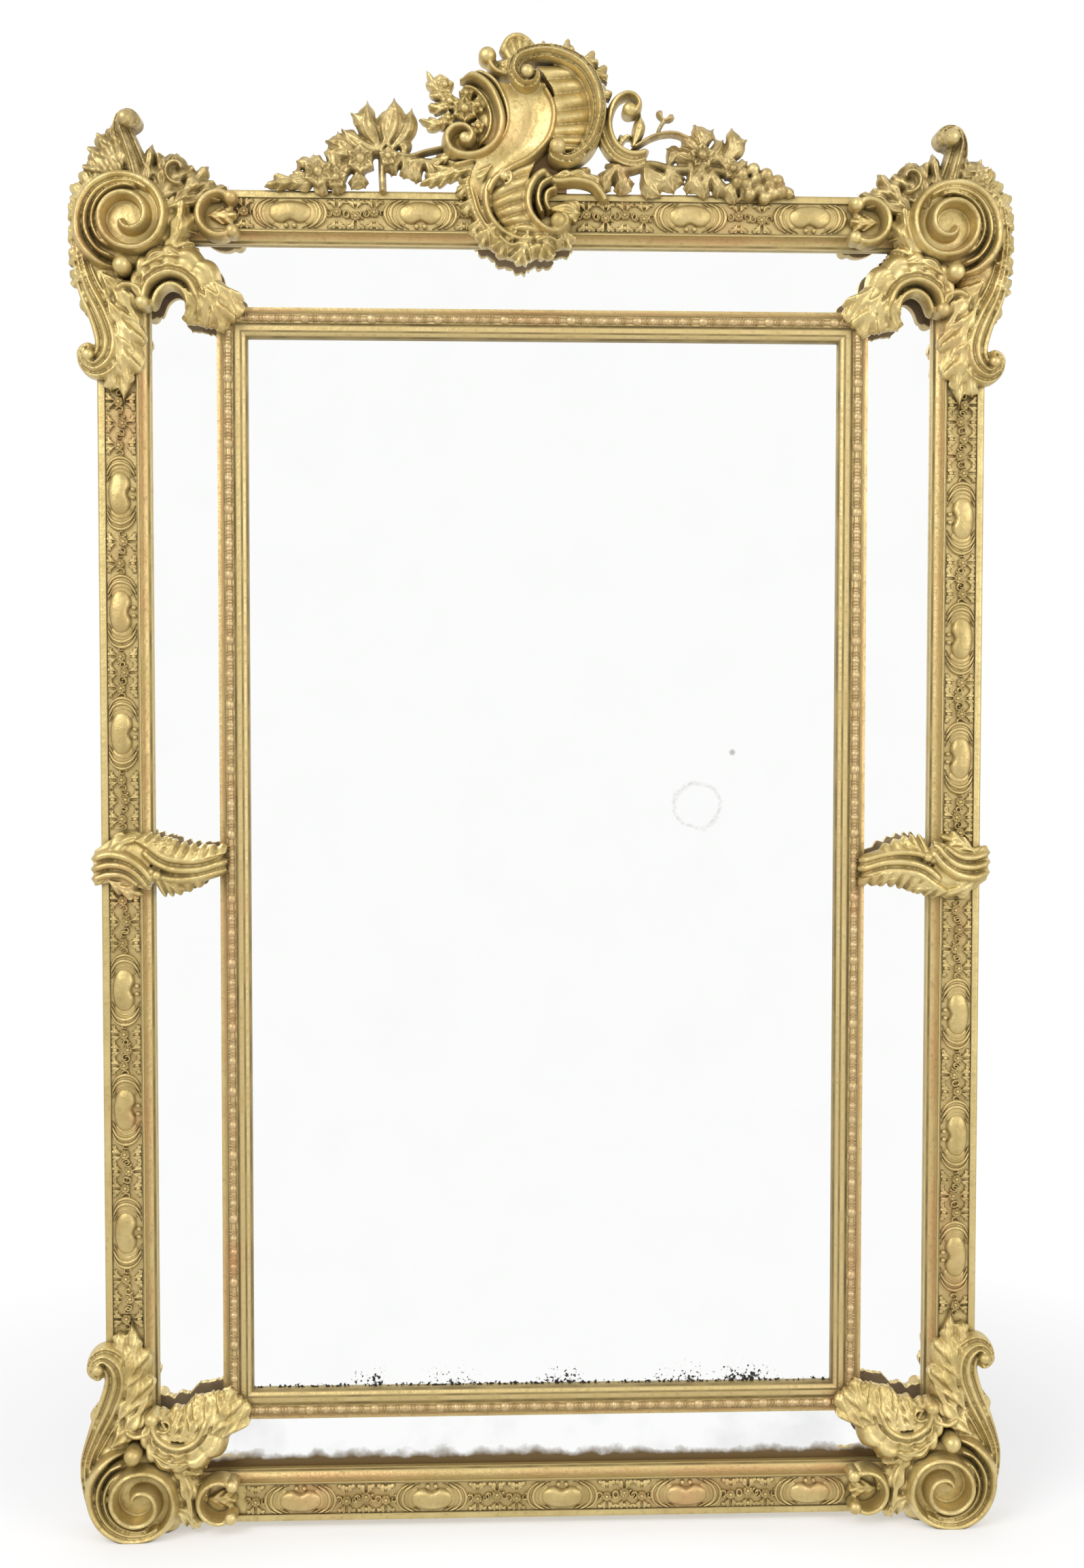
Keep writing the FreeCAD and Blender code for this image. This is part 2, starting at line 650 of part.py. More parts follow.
cartouche_shares = [
    ("plate", [(-0.44, 1.18), (-0.08, 1.20), (0.10, 0.92), (0.02, 0.60), (-0.14, 0.38), (-0.40, 0.16),
               (-0.80, 0.10), (-1.06, 0.20), (-0.80, 0.34), (-0.56, 0.56), (-0.46, 0.84)], 0.40),
    ("band", [(-0.10, 1.60), (0.10, 1.62), (0.36, 1.56), (0.56, 1.34), (0.65, 1.00), (0.61, 0.68),
              (0.44, 0.44), (0.20, 0.34)], 0.20, 0.16, 0.75),
    ("band", [(-0.05, 1.16), (0.09, 0.92), (0.02, 0.62), (-0.14, 0.38)], 0.10, 0.08, 0.55),
    ("fan", (-0.02, 0.70), 0.62, -10, 95, 6, 0.45),
    ("disc", (-0.22, 1.30), 0.20, 0.60),
    ("boss", (-0.22, 1.30), 0.12, 0.90),
    ("boss", (0.13, 0.44), 0.11, 0.90),
    ("boss", (-0.72, 1.60), 0.11, 0.45),
    ("leaf", (-0.22, 1.40), (-0.32, 1.88), 0.38, 0.35),
    ("leaf", (-0.30, 1.30), (-0.72, 1.62), 0.16, 0.35),
    ("leaf", (0.10, 1.50), (0.34, 1.74), 0.22, 0.35),
    ("leaf", (0.30, 1.46), (0.61, 1.58), 0.22, 0.35),
    ("leaf", (0.44, 1.30), (0.74, 1.38), 0.20, 0.35),
    ("leaf", (0.52, 1.10), (0.81, 1.15), 0.20, 0.35),
    ("leaf", (-0.70, 0.26), (-1.56, 0.08), 0.26, 0.35),
]
foot_shares = [
    ("plate", [(-0.88, 0.06), (-0.78, -0.22), (-0.62, -0.50), (-0.66, -0.72), (-0.35, -0.90), (0.08, -0.80),
               (0.26, -0.58), (0.16, -0.28), (0.30, -0.10), (0.20, 0.10), (-0.30, 0.16)], 0.28),
    ("band", [(0.02, 0.14), (-0.18, 0.04), (-0.24, -0.16), (-0.16, -0.38), (0.02, -0.52), (0.20, -0.46)],
     0.12, 0.12, 0.62),
    ("fan", (-0.44, -0.56), 0.60, 60, 130, 5, 0.45),
    ("boss", (0.10, -0.44), 0.13, 0.72),
    ("boss", (-0.52, 0.10), 0.08, 0.70),
    ("leaf", (-0.45, -0.50), (-0.76, -0.78), 0.20, 0.36),
    ("leaf", (-0.40, -0.50), (-0.55, -0.90), 0.20, 0.36),
    ("leaf", (-0.30, -0.50), (-0.35, -1.00), 0.22, 0.36),
    ("leaf", (-0.20, -0.50), (-0.14, -0.84), 0.18, 0.36),
    ("leaf", (-0.05, -0.50), (0.08, -0.91), 0.20, 0.36),
    ("leaf", (0.00, -0.45), (0.26, -0.77), 0.20, 0.36),
    ("leaf", (0.10, -0.05), (0.76, -0.11), 0.22, 0.36),
]
left_scroll_shares = [
    ("band", [(-1.02, 1.32), (-0.76, 1.24), (-0.56, 1.04), (-0.50, 0.78), (-0.60, 0.52), (-0.84, 0.36),
              (-1.10, 0.40), (-1.22, 0.56)], 0.14, 0.14, 0.60),
    ("disc", (-0.98, 0.56), 0.22, 0.45),
    ("boss", (-0.98, 0.57), 0.12, 0.65),
    ("disc", (-0.86, 0.86), 0.30, 0.30),
    ("boss", (-1.00, 0.94), 0.14, 0.55),
    ("boss", (-1.26, 1.26), 0.09, 0.45),
    ("leaf", (-0.98, 0.90), (-1.47, 1.46), 0.26, 0.40),
    ("leaf", (-0.95, 0.90), (-1.28, 1.33), 0.22, 0.40),
    ("leaf", (-0.95, 0.94), (-1.42, 0.98), 0.20, 0.40),
    ("leaf", (-0.95, 0.84), (-1.58, 0.84), 0.16, 0.40),
    ("leaf", (-0.90, 0.90), (-1.02, 1.40), 0.20, 0.40),
]
right_scroll_shares = [
    ("band", [(1.14, 0.96), (1.17, 1.10), (1.03, 1.17), (0.86, 1.06), (0.79, 0.84), (0.84, 0.62),
              (1.00, 0.50), (1.24, 0.50)], 0.12, 0.10, 0.50),
    ("boss", (1.06, 0.98), 0.10, 0.50),
    ("band", [(0.62, 0.90), (0.70, 0.60), (0.88, 0.42), (1.10, 0.34)], 0.22, 0.16, 0.36),
    ("leaf", (1.10, 0.52), (1.20, 0.95), 0.14, 0.34),
]
left_garland_shares = [
    ("band", [(-1.10, 0.44), (-1.45, 0.36), (-1.76, 0.34), (-2.05, 0.46), (-2.40, 0.36), (-2.70, 0.20),
              (-3.00, 0.10), (-3.30, 0.02)], 0.12, 0.16, 0.30),
    ("band", [(-2.02, 0.42), (-2.02, 0.16), (-2.01, -0.08)], 0.09, 0.09, 0.26),
    ("boss", (-2.32, 0.34), 0.17, 0.50),
    ("boss", (-2.80, 0.18), 0.20, 0.45),
    ("boss", (-2.62, 0.06), 0.13, 0.36),
    ("leaf", (-2.04, 0.40), (-2.20, 1.12), 0.30, 0.28),
    ("leaf", (-2.00, 0.44), (-2.48, 0.80), 0.16, 0.28),
    ("leaf", (-1.92, 0.42), (-1.68, 1.03), 0.26, 0.28),
    ("leaf", (-2.30, 0.40), (-2.76, 0.60), 0.20, 0.28),
    ("leaf", (-2.75, 0.10), (-3.02, 0.40), 0.20, 0.28),
    ("leaf", (-2.60, 0.10), (-2.78, 0.43), 0.18, 0.28),
    ("leaf", (-2.80, 0.02), (-3.08, 0.22), 0.20, 0.28),
    ("leaf", (-2.90, 0.04), (-3.50, 0.04), 0.20, 0.28),
    ("leaf", (-1.50, 0.36), (-1.57, 0.08), 0.14, 0.28),
    ("leaf", (-1.76, 0.36), (-1.92, 0.18), 0.14, 0.28),
    ("leaf", (-2.50, 0.30), (-2.46, -0.10), 0.16, 0.28),
    ("leaf", (-2.66, 0.10), (-2.74, -0.14), 0.16, 0.28),
]
right_garland_shares = [
    ("band", [(1.06, 0.46), (1.35, 0.36), (1.62, 0.28), (1.90, 0.34), (2.20, 0.30), (2.50, 0.16),
              (2.80, 0.06), (3.04, 0.00)], 0.20, 0.16, 0.30),
    ("band", [(1.04, 0.50), (1.36, 0.68), (1.62, 0.70), (1.84, 0.60)], 0.07, 0.10, 0.28),
    ("band", [(1.38, 0.68), (1.42, 0.82), (1.50, 0.92), (1.60, 0.98)], 0.05, 0.09, 0.24),
    ("leaf", (1.42, 0.80), (1.41, 1.00), 0.06, 0.24),
    ("boss", (1.92, 0.46), 0.20, 0.52),
    ("leaf", (1.82, 0.40), (1.87, 0.88), 0.22, 0.28),
    ("leaf", (1.96, 0.40), (2.02, 0.76), 0.24, 0.28),
    ("leaf", (2.06, 0.36), (2.31, 0.79), 0.22, 0.28),
    ("leaf", (2.20, 0.26), (2.63, 0.68), 0.22, 0.28),
    ("leaf", (2.66, 0.06), (3.14, -0.02), 0.16, 0.28),
    ("leaf", (1.30, 0.34), (1.00, 0.02), 0.22, 0.28),
    ("leaf", (1.30, 0.30), (1.50, -0.12), 0.22, 0.28),
    ("leaf", (1.70, 0.30), (1.66, 0.04), 0.16, 0.28),
    ("leaf", (2.10, 0.30), (2.02, -0.10), 0.20, 0.28),
    ("leaf", (2.20, 0.20), (2.50, -0.12), 0.20, 0.28),
    ("boss", (2.44, 0.22), 0.085, 0.36),
    ("boss", (2.60, 0.18), 0.085, 0.36),
    ("boss", (2.72, 0.20), 0.085, 0.36),
    ("boss", (2.54, 0.04), 0.085, 0.36),
    ("boss", (2.70, 0.04), 0.085, 0.36),
    ("boss", (2.84, 0.12), 0.085, 0.36),
    ("boss", (2.90, -0.02), 0.085, 0.36),
]
crest_order = [
    ("crest_cartouche", cartouche_shares, []),
    ("crest_foot", foot_shares, ["crest_cartouche"]),
    ("crest_scroll_left", left_scroll_shares, ["crest_cartouche", "crest_foot"]),
    ("crest_scroll_right", right_scroll_shares, ["crest_cartouche", "crest_foot"]),
    ("crest_garland_left", left_garland_shares, ["crest_cartouche", "crest_foot", "crest_scroll_left"]),
    ("crest_garland_right", right_garland_shares, ["crest_cartouche", "crest_foot", "crest_scroll_right"]),
]
for label, motif_shares, earlier in crest_order:
    ornament(label, carve(motif_shares, crest_spot, mm.crest_module), earlier)

batten = document.addObject("Part::Box", "crest_batten")
batten.setExpression("Length", "sizes.crest_batten_width")
batten.setExpression("Width", "sizes.crest_batten_thickness")
batten.setExpression("Height", "sizes.crest_batten_height")
batten_shift_share = -0.62
batten_left = f"{batten_shift_share} * sizes.crest_batten_width"
place(batten, Rotation(), batten_left, f"{BACK} - sizes.rail_depth", TOP)
keep(batten, "crest_batten")


# Runs along a rail or a stile: frieze strips and bead strips
ACROSS = Vector(1, 0, 0)
UPWARD = Vector(0, 0, 1)


def run_point(lengthwise, along, fixed, depth):
    """Point of a run: how far along it, its fixed place across it, and a depth."""
    sidewise = UPWARD if lengthwise == ACROSS else ACROSS
    return lengthwise * along + sidewise * fixed + Vector(0, depth_y(depth), 0)


def frieze_strip(label, lengthwise, start, end, axis, oval_shares):
    """Strip that fills the frieze recess, with oval cabochons in raised rims at shares of its length."""
    sidewise = UPWARD if lengthwise == ACROSS else ACROSS
    reach = lengthwise * (end - start) + sidewise * mm.frieze_width
    origin = run_point(lengthwise, start, axis - mm.frieze_width / 2, mm.rail_depth)
    strip = Part.makeBox(reach.x, mm.frieze_recess, reach.z, origin)
    ovals = []
    for share in oval_shares:
        centre = run_point(lengthwise, start + share * (end - start), axis, mm.rail_depth)
        for rim, rise in ((mm.oval_rim, mm.oval_rim_rise), (0, mm.oval_rise)):
            end_point = centre + lengthwise * (mm.oval_length / 2 + rim)
            side_point = centre + sidewise * (mm.oval_width / 2 + rim)
            outline = Part.Ellipse(end_point, side_point, centre).toShape()
            ovals.append(Part.Face(Part.Wire([outline])).extrude(FORWARD * rise))
    return feature(label, strip.multiFuse(ovals).removeSplitter().Solids[0])


stile_run_share = 2.70
top_run_share = 1.90
bottom_run_share = 1.76
clasp_run_share = 0.46
crest_run_shares = (-0.92, 0.82)
stile_start = stile_run_share * mm.corner_module
top_end = half_width - top_run_share * mm.corner_module
bottom_end = half_width - bottom_run_share * mm.corner_module
clasp_half = clasp_run_share * mm.clasp_module
crest_left, crest_right = [share * mm.crest_module for share in crest_run_shares]
frieze_middle = mm.outer_fillet + mm.frieze_width / 2
upper_span = (frame_middle + clasp_half, frame_top - stile_start)
lower_span = (frame_bottom + stile_start, frame_middle - clasp_half)
left_axis = -half_width + frieze_middle
right_axis = half_width - frieze_middle
top_axis = frame_top - frieze_middle
bottom_axis = frame_bottom + frieze_middle
frieze_strip("frieze_top_left", ACROSS, -top_end, crest_left, top_axis, (0.18, 0.77))
frieze_strip("frieze_top_right", ACROSS, crest_right, top_end, top_axis, (0.35, 0.88))
frieze_strip("frieze_bottom", ACROSS, -bottom_end, bottom_end, bottom_axis, (0.09, 0.31, 0.53, 0.74, 0.95))
frieze_strip("frieze_left_upper", UPWARD, *upper_span, left_axis, (0.23, 0.52, 0.80))
frieze_strip("frieze_left_lower", UPWARD, *lower_span, left_axis, (0.20, 0.50, 0.79))
frieze_strip("frieze_right_upper", UPWARD, *upper_span, right_axis, (0.17, 0.46, 0.75))
frieze_strip("frieze_right_lower", UPWARD, *lower_span, right_axis, (0.12, 0.42, 0.72))


def spread(start, end, count):
    """Places spaced evenly between two ends, half a step in from each."""
    step = (end - start) / count
    return [start + step / 2 + step * index for index in range(count)]


def bead_strip(label, lengthwise, start, end, axis):
    """Half-round strip with pearls, spaced evenly at about the pitch."""
    origin = run_point(lengthwise, start, axis, bead_plane)
    left = run_point(lengthwise, start, axis - mm.bead_radius, bead_plane)
    right = run_point(lengthwise, start, axis + mm.bead_radius, bead_plane)
    section = [
        Part.Arc(left, origin + FORWARD * mm.bead_radius, right).toShape(),
        Part.makeLine(right, left),
    ]
    rod = Part.Face(Part.Wire(section)).extrude(lengthwise * (end - start))
    pearls = []
    for along in spread(start, end, int((end - start) / mm.pearl_pitch)):
        centre = run_point(lengthwise, along, axis, bead_plane)
        pearls.append(Part.makeSphere(mm.pearl_radius, centre, FORWARD, 0, quarter_turn, full_turn))
    return feature(label, rod.multiFuse(pearls).removeSplitter().Solids[0])


bead_middle = mm.bead_offset + mm.bead_seat / 2
bead_half = inner_half_width - bead_middle
bead_bottom = inner_bottom + bead_middle
bead_top = inner_top - bead_middle
bead_span = (bead_bottom - mm.bead_radius, bead_top + mm.bead_radius)
bead_width = (-bead_half + mm.bead_radius, bead_half - mm.bead_radius)
bead_strip("bead_strip_left", UPWARD, *bead_span, -bead_half)
bead_strip("bead_strip_right", UPWARD, *bead_span, bead_half)
bead_strip("bead_strip_top", ACROSS, *bead_width, bead_top)
bead_strip("bead_strip_bottom", ACROSS, *bead_width, bead_bottom)


# Screws, driven forward from behind: a countersunk head and a plain shank
def screw(spot, depth, through):
    """Screw at a place (x, z) of the back that goes through a thickness and bites into what is behind it."""
    base = at(spot, depth)
    head = Part.makeCone(mm.screw_head_radius, mm.screw_radius, mm.screw_head_height, base, FORWARD)
    shank = Part.makeCylinder(mm.screw_radius, through + mm.screw_bite, base, FORWARD)
    return head.fuse(shank).removeSplitter()


# Boards across the back, screwed to the outer frame; the inner frame's tongue is screwed to them
board_half = half_width - rail_width + mm.board_rebate - mm.board_gap
board_bottom = frame_bottom + rail_width - mm.board_rebate + mm.board_gap
board_top = frame_top - rail_width + mm.board_rebate - mm.board_gap
board_count = 6
board_step = (board_top - board_bottom) / board_count
board_screw_shares = (-0.25, 0.25)
edge_screw_x = board_half - (mm.board_rebate - mm.plate_rebate) / 2
tongue_inset = inner_width / 2
rail_screw_count = 3
board_screws = []
tongue_screws = []
for side in (-1, 1):
    for level in spread(board_bottom, board_top, board_count):
        for share in board_screw_shares:
            spot = (side * edge_screw_x, level + share * board_step)
            board_screws.append(screw(spot, mm.board_setback, mm.board_thickness))
    for level in spread(board_bottom, board_top, board_count):
        spot = (side * (inner_half_width - tongue_inset), level)
        tongue_screws.append(screw(spot, mm.board_setback, mm.board_thickness))
for x in spread(-inner_half_width, inner_half_width, rail_screw_count):
    for level in (inner_bottom + tongue_inset, inner_top - tongue_inset):
        tongue_screws.append(screw((x, level), mm.board_setback, mm.board_thickness))
feature("board_screws", Part.makeCompound(board_screws))
feature("inner_frame_screws", Part.makeCompound(tongue_screws))
boards = []
for index in range(board_count):
    board = Part.makeBox(
        2 * board_half, mm.board_thickness, board_step - mm.board_gap,
        Vector(-board_half, depth_y(board_front), board_bottom + index * board_step))
    near = [item for item in board_screws + tongue_screws if item.BoundBox.intersect(board.BoundBox)]
    boards.append(board.cut(near))
feature("back_boards", Part.makeCompound(boards))

# Iron plates let into the back across each mitre
land_middle = (rail_width - mm.board_rebate) / 2
iron_screw_shares = (0.45, 0.85)
irons = []
iron_screws = []
for side, level in corners.values():
    edge = frame_top if level > 0 else frame_bottom
    heel_x = side * (half_width - land_middle + mm.iron_width / 2)
    heel_z = edge - level * (land_middle - mm.iron_width / 2)

    def iron_leg(length, height):
        low_x = min(heel_x, heel_x - side * length)
        low_z = min(heel_z, heel_z - level * height)
        low_corner = Vector(low_x, depth_y(mm.iron_thickness), low_z)
        return Part.makeBox(length, mm.iron_thickness, height, low_corner)

    fixings = []
    for share in iron_screw_shares:
        far = share * mm.iron_leg
        near = mm.iron_width / 2
        for run, rise in ((far, near), (near, far)):
            fixings.append(screw((heel_x - side * run, heel_z - level * rise), 0, mm.iron_thickness))
    iron = iron_leg(mm.iron_leg, mm.iron_width).fuse(iron_leg(mm.iron_width, mm.iron_leg)).removeSplitter()
    irons.append(iron.cut(fixings))
    iron_screws += fixings
feature("corner_irons", Part.makeCompound(irons))
feature("corner_iron_screws", Part.makeCompound(iron_screws))

# Hangers: a plate in a recess of each stile, with a knuckle that the ring's bar turns in
knuckle_bore = mm.ring_wire_radius + mm.ring_play
knuckle_radius = knuckle_bore + mm.knuckle_wall
ring_depth = mm.knuckle_setback + knuckle_radius
hanger_plate_back = ring_depth + mm.ring_wire_radius + mm.ring_clearance
recess_depth = hanger_plate_back + mm.hanger_plate_thickness
hanger_z = frame_top - mm.hanger_drop
ring_reach = mm.ring_radius + mm.ring_wire_radius
hanger_screw_shares = (0.40, 0.80)
hanger_screws = {}
recesses = {}
for side_name, side in (("left", -1), ("right", 1)):
    middle = side * (half_width - land_middle)
    pivot = Vector(middle, depth_y(ring_depth), hanger_z)
    plate_bar = Part.makeBox(
        mm.hanger_plate_width, mm.hanger_plate_thickness, mm.hanger_plate_length,
        Vector(middle - mm.hanger_plate_width / 2, depth_y(recess_depth), hanger_z))
    knuckle_end = pivot - ACROSS * mm.knuckle_length / 2
    knuckle = Part.makeCylinder(knuckle_radius, mm.knuckle_length, knuckle_end, ACROSS)
    bore = Part.makeCylinder(knuckle_bore, mm.knuckle_length, knuckle_end, ACROSS)
    fixings = []
    for share in hanger_screw_shares:
        spot = (middle, hanger_z + share * mm.hanger_plate_length)
        fixings.append(screw(spot, hanger_plate_back, mm.hanger_plate_thickness))
    hanger = plate_bar.fuse(knuckle).cut([bore] + fixings).removeSplitter()
    feature("hanger_plate_" + side_name, hanger.Solids[0])
    hanger_screws[side_name] = fixings
    recess_half = ring_reach + mm.hanger_recess_margin / 2
    recess_low = hanger_z - mm.ring_leg - ring_reach - mm.hanger_recess_margin
    recess_high = hanger_z + mm.hanger_plate_length
    recesses[side_name] = Part.makeBox(
        2 * recess_half, recess_depth, recess_high - recess_low,
        Vector(middle - recess_half, depth_y(recess_depth), recess_low))
    pieces = []
    for end in (-1, 1):
        bend = pivot + ACROSS * mm.ring_radius * end
        pieces.append(Part.makeSphere(mm.ring_wire_radius, bend))
        pieces.append(Part.makeCylinder(mm.ring_wire_radius, mm.ring_leg, bend, -UPWARD))
    bow = Part.makeTorus(
        mm.ring_radius, mm.ring_wire_radius, Vector(), UPWARD, 0, full_turn, half_turn)
    bow.Placement = FreeCAD.Placement(pivot - UPWARD * mm.ring_leg, Rotation(ACROSS, -quarter_turn))
    bar = Part.makeCylinder(
        mm.ring_wire_radius, 2 * mm.ring_radius, pivot - ACROSS * mm.ring_radius, ACROSS)
    feature("hanger_ring_" + side_name, bar.multiFuse(pieces + [bow]).removeSplitter().Solids[0])
feature("hanger_screws", Part.makeCompound(hanger_screws["left"] + hanger_screws["right"]))


# Mouldings with what is let into them cut out
def cut_side(name, tools):
    """Moulding blank less the tools that reach it."""
    blank = blanks[name]
    reached = [tool for tool in tools if tool.BoundBox.intersect(blank.Shape.BoundBox)]
    cutter = document.addObject("Part::Feature", name + "_cutters")
    cutter.Shape = Part.makeCompound(reached)
    cut = document.addObject("Part::Cut", name)
    cut.Base = blank
    cut.Tool = cutter
    document.recompute()
    keep(cut, name)


for name in outer_sides:
    tools = board_screws + irons + iron_screws
    for side_name, recess in recesses.items():
        if name.endswith(side_name):
            tools = tools + [recess] + hanger_screws[side_name]
    cut_side(name, tools)
for name in inner_sides:
    cut_side(name, tongue_screws)

document.recompute()
for item in document.Objects:
    if "Invalid" in item.State or "Error" in item.State:
        raise ValueError(f"{item.Label} is {item.State}")
for item in nodes:
    if item.Shape.isNull() or not item.Shape.isValid() or not item.Shape.Solids:
        raise ValueError(item.Label + " has no valid solid")
os.makedirs("parts", exist_ok=True)
for item in nodes:
    item.Shape.exportStep(f"parts/{item.Label}.step")
    print(item.Label, len(item.Shape.Solids), round(item.Shape.Volume))
print(len(nodes), "nodes")
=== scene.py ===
"""Looks of a gilt overmantel mirror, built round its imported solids."""

import logging
import math
from dataclasses import dataclass, field
from enum import Enum
from typing import Any, Protocol

import bpy
import numpy as np
from mathutils import Euler, Matrix, Vector


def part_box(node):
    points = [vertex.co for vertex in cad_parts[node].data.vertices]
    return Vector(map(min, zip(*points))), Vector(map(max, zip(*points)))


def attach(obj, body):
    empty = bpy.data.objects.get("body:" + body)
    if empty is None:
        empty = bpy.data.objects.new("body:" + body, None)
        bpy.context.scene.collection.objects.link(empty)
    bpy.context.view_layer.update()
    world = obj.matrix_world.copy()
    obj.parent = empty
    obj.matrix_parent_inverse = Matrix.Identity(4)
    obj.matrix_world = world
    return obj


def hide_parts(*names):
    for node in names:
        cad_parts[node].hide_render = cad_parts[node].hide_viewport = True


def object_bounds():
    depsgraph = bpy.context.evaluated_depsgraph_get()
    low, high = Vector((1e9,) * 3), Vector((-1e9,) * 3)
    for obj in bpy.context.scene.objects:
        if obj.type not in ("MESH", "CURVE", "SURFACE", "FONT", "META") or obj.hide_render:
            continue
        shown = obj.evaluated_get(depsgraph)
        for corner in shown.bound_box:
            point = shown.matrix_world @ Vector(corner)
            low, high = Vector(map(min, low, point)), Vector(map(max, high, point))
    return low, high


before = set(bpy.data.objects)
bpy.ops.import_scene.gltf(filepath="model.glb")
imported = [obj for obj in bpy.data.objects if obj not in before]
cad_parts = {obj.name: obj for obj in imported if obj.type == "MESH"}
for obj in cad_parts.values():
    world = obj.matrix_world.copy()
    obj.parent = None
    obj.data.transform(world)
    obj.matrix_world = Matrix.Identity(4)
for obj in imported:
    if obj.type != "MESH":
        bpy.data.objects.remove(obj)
SOLID_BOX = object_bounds()
LOG = logging.getLogger("overmantel_mirror")

Pair = tuple[float, float]
Place = tuple[float, float, float]
Values = tuple[float, ...]
Path = tuple[Pair, ...]
Colour = tuple[float, float, float]
Socket = bpy.types.NodeSocket
Material = bpy.types.Material
Piece = bpy.types.Object
MM = 0.001
OPAQUE = 1.0
WHITE: Colour = (1, 1, 1)
BACK_RISE_SHARE = -0.06


def blend_values(values: Values, share: np.ndarray) -> np.ndarray:
    """Values between a few given ones, evenly spaced, at each share of the way."""
    return np.interp(share, np.linspace(0, 1, len(values)), values)


def smooth_path(points: Path, count: int) -> np.ndarray:
    """Catmull-Rom curve through a few points.

    Args:
        points: Places that the curve goes through.
        count: How many places to read from it.

    Returns:
        The places, one in each row.
    """
    given = np.array(points, float)
    ends = (2 * given[0] - given[1], 2 * given[-1] - given[-2])
    padded = np.vstack([ends[0], given, ends[1]])
    spans = len(given) - 1
    places = np.linspace(0, spans, count)
    index = np.minimum(places.astype(int), spans - 1)
    part = (places - index)[:, None]
    before, start, end, after = (padded[index + shift] for shift in range(4))
    bend = 2 * before - 5 * start + 4 * end - after + part * (3 * (start - end) + after - before)
    return start + part / 2 * (end - before + part * bend)


def side_directions(line: np.ndarray) -> tuple[np.ndarray, np.ndarray]:
    """Unit directions along a curve and to the side of it.

    Args:
        line: Places of the curve, one in each row.

    Returns:
        The directions along it and to its left, one in each row.
    """
    shortest = 1e-9
    along = np.gradient(line, axis=0)
    along /= np.maximum(np.linalg.norm(along, axis=1, keepdims=True), shortest)
    return along, np.stack([-along[:, 1], along[:, 0]], axis=1)


def spiral(centre: Pair, radii: Values, start_degrees: float, turn_degrees: float) -> Path:
    """Path that winds about a centre.

    Args:
        centre: Middle of the spiral.
        radii: Distances from the centre along the way, evenly spaced.
        start_degrees: Direction of the start, from the first axis towards the second.
        turn_degrees: How far it winds.

    Returns:
        Places for a smooth path.
    """
    step_degrees = 30
    least_places = 3
    share = np.linspace(0, 1, max(least_places, round(abs(turn_degrees) / step_degrees) + 1))
    angle = np.radians(start_degrees + turn_degrees * share)
    radius = blend_values(radii, share)
    across = centre[0] + radius * np.cos(angle)
    up = centre[1] + radius * np.sin(angle)
    return tuple(zip(across.tolist(), up.tolist()))


@dataclass(frozen=True)
class Seat:
    """Place on the front of the frame where a carving sits, turning shares into metres.

    Attributes:
        origin: Point (x, z) where both shares are zero.
        first: Direction (x, z) of the first share.
        second: Direction (x, z) of the second share.
        module: Metres for a share of one across the front.
        floor: Depth from the wall plane where the rise is zero.
        room: Metres for a rise of one.
    """

    origin: Pair
    first: Pair
    second: Pair
    module: float
    floor: float
    room: float

    def world(self, rings: np.ndarray) -> np.ndarray:
        """Places in the frame's metres.

        Args:
            rings: Rings of (first, second, rise) shares.

        Returns:
            The same rings as (x, y, z).
        """
        first, second, rise = np.moveaxis(rings, -1, 0)
        across = self.origin[0] + self.module * (first * self.first[0] + second * self.second[0])
        up = self.origin[1] + self.module * (first * self.first[1] + second * self.second[1])
        forward = SOLID_BOX[1].y - self.floor - rise * self.room
        return np.stack([across, forward, up], axis=-1)


class Section(Enum):
    """Cross-sections of a scroll band, as (across, up) shares; across goes from right to left of its way."""

    ROUND = ((-1, 0.1), (-0.92, 0.42), (-0.7, 0.74), (-0.38, 0.94), (0, 1), (0.38, 0.94), (0.7, 0.74),
             (0.92, 0.42), (1, 0.1))
    REEDED = ((-1, 0.2), (-0.9, 0.66), (-0.7, 0.84), (-0.5, 0.7), (-0.32, 0.86), (0, 1),
              (0.32, 0.86), (0.5, 0.7), (0.7, 0.84), (0.9, 0.66), (1, 0.2))
    FLUTED = ((-1, 0.2), (-0.93, 0.56), (-0.78, 0.74), (-0.62, 0.68), (-0.52, 0.56), (-0.4, 0.8),
              (-0.24, 0.96), (-0.1, 0.9), (0, 0.76), (0.1, 0.9), (0.24, 1), (0.4, 0.86), (0.52, 0.6),
              (0.62, 0.72), (0.78, 0.78), (0.93, 0.6), (1, 0.2))


class Stroke(Protocol):
    """One cut of the carver, which gives the rings of a closed tube."""

    def rings(self, seat: Seat) -> np.ndarray:
        """Rings of (first, second, rise) shares."""


def tube_rings(line: np.ndarray, rise: np.ndarray, base: float | np.ndarray) -> np.ndarray:
    """Rings that close a relief towards its back.

    Args:
        line: Places of the relief's rows, (row, column, 2).
        rise: Rise of each of them, (row, column).
        base: Rise of the flat back, one for all rows or one for each.

    Returns:
        Rings of (first, second, rise), with two columns more than the rows.
    """
    front = np.concatenate([line, rise[..., None]], axis=2)
    left = front[:, :1].copy()
    right = front[:, -1:].copy()
    left[:, 0, 2] = base
    right[:, 0, 2] = base
    return np.concatenate([left, front, right], axis=1)


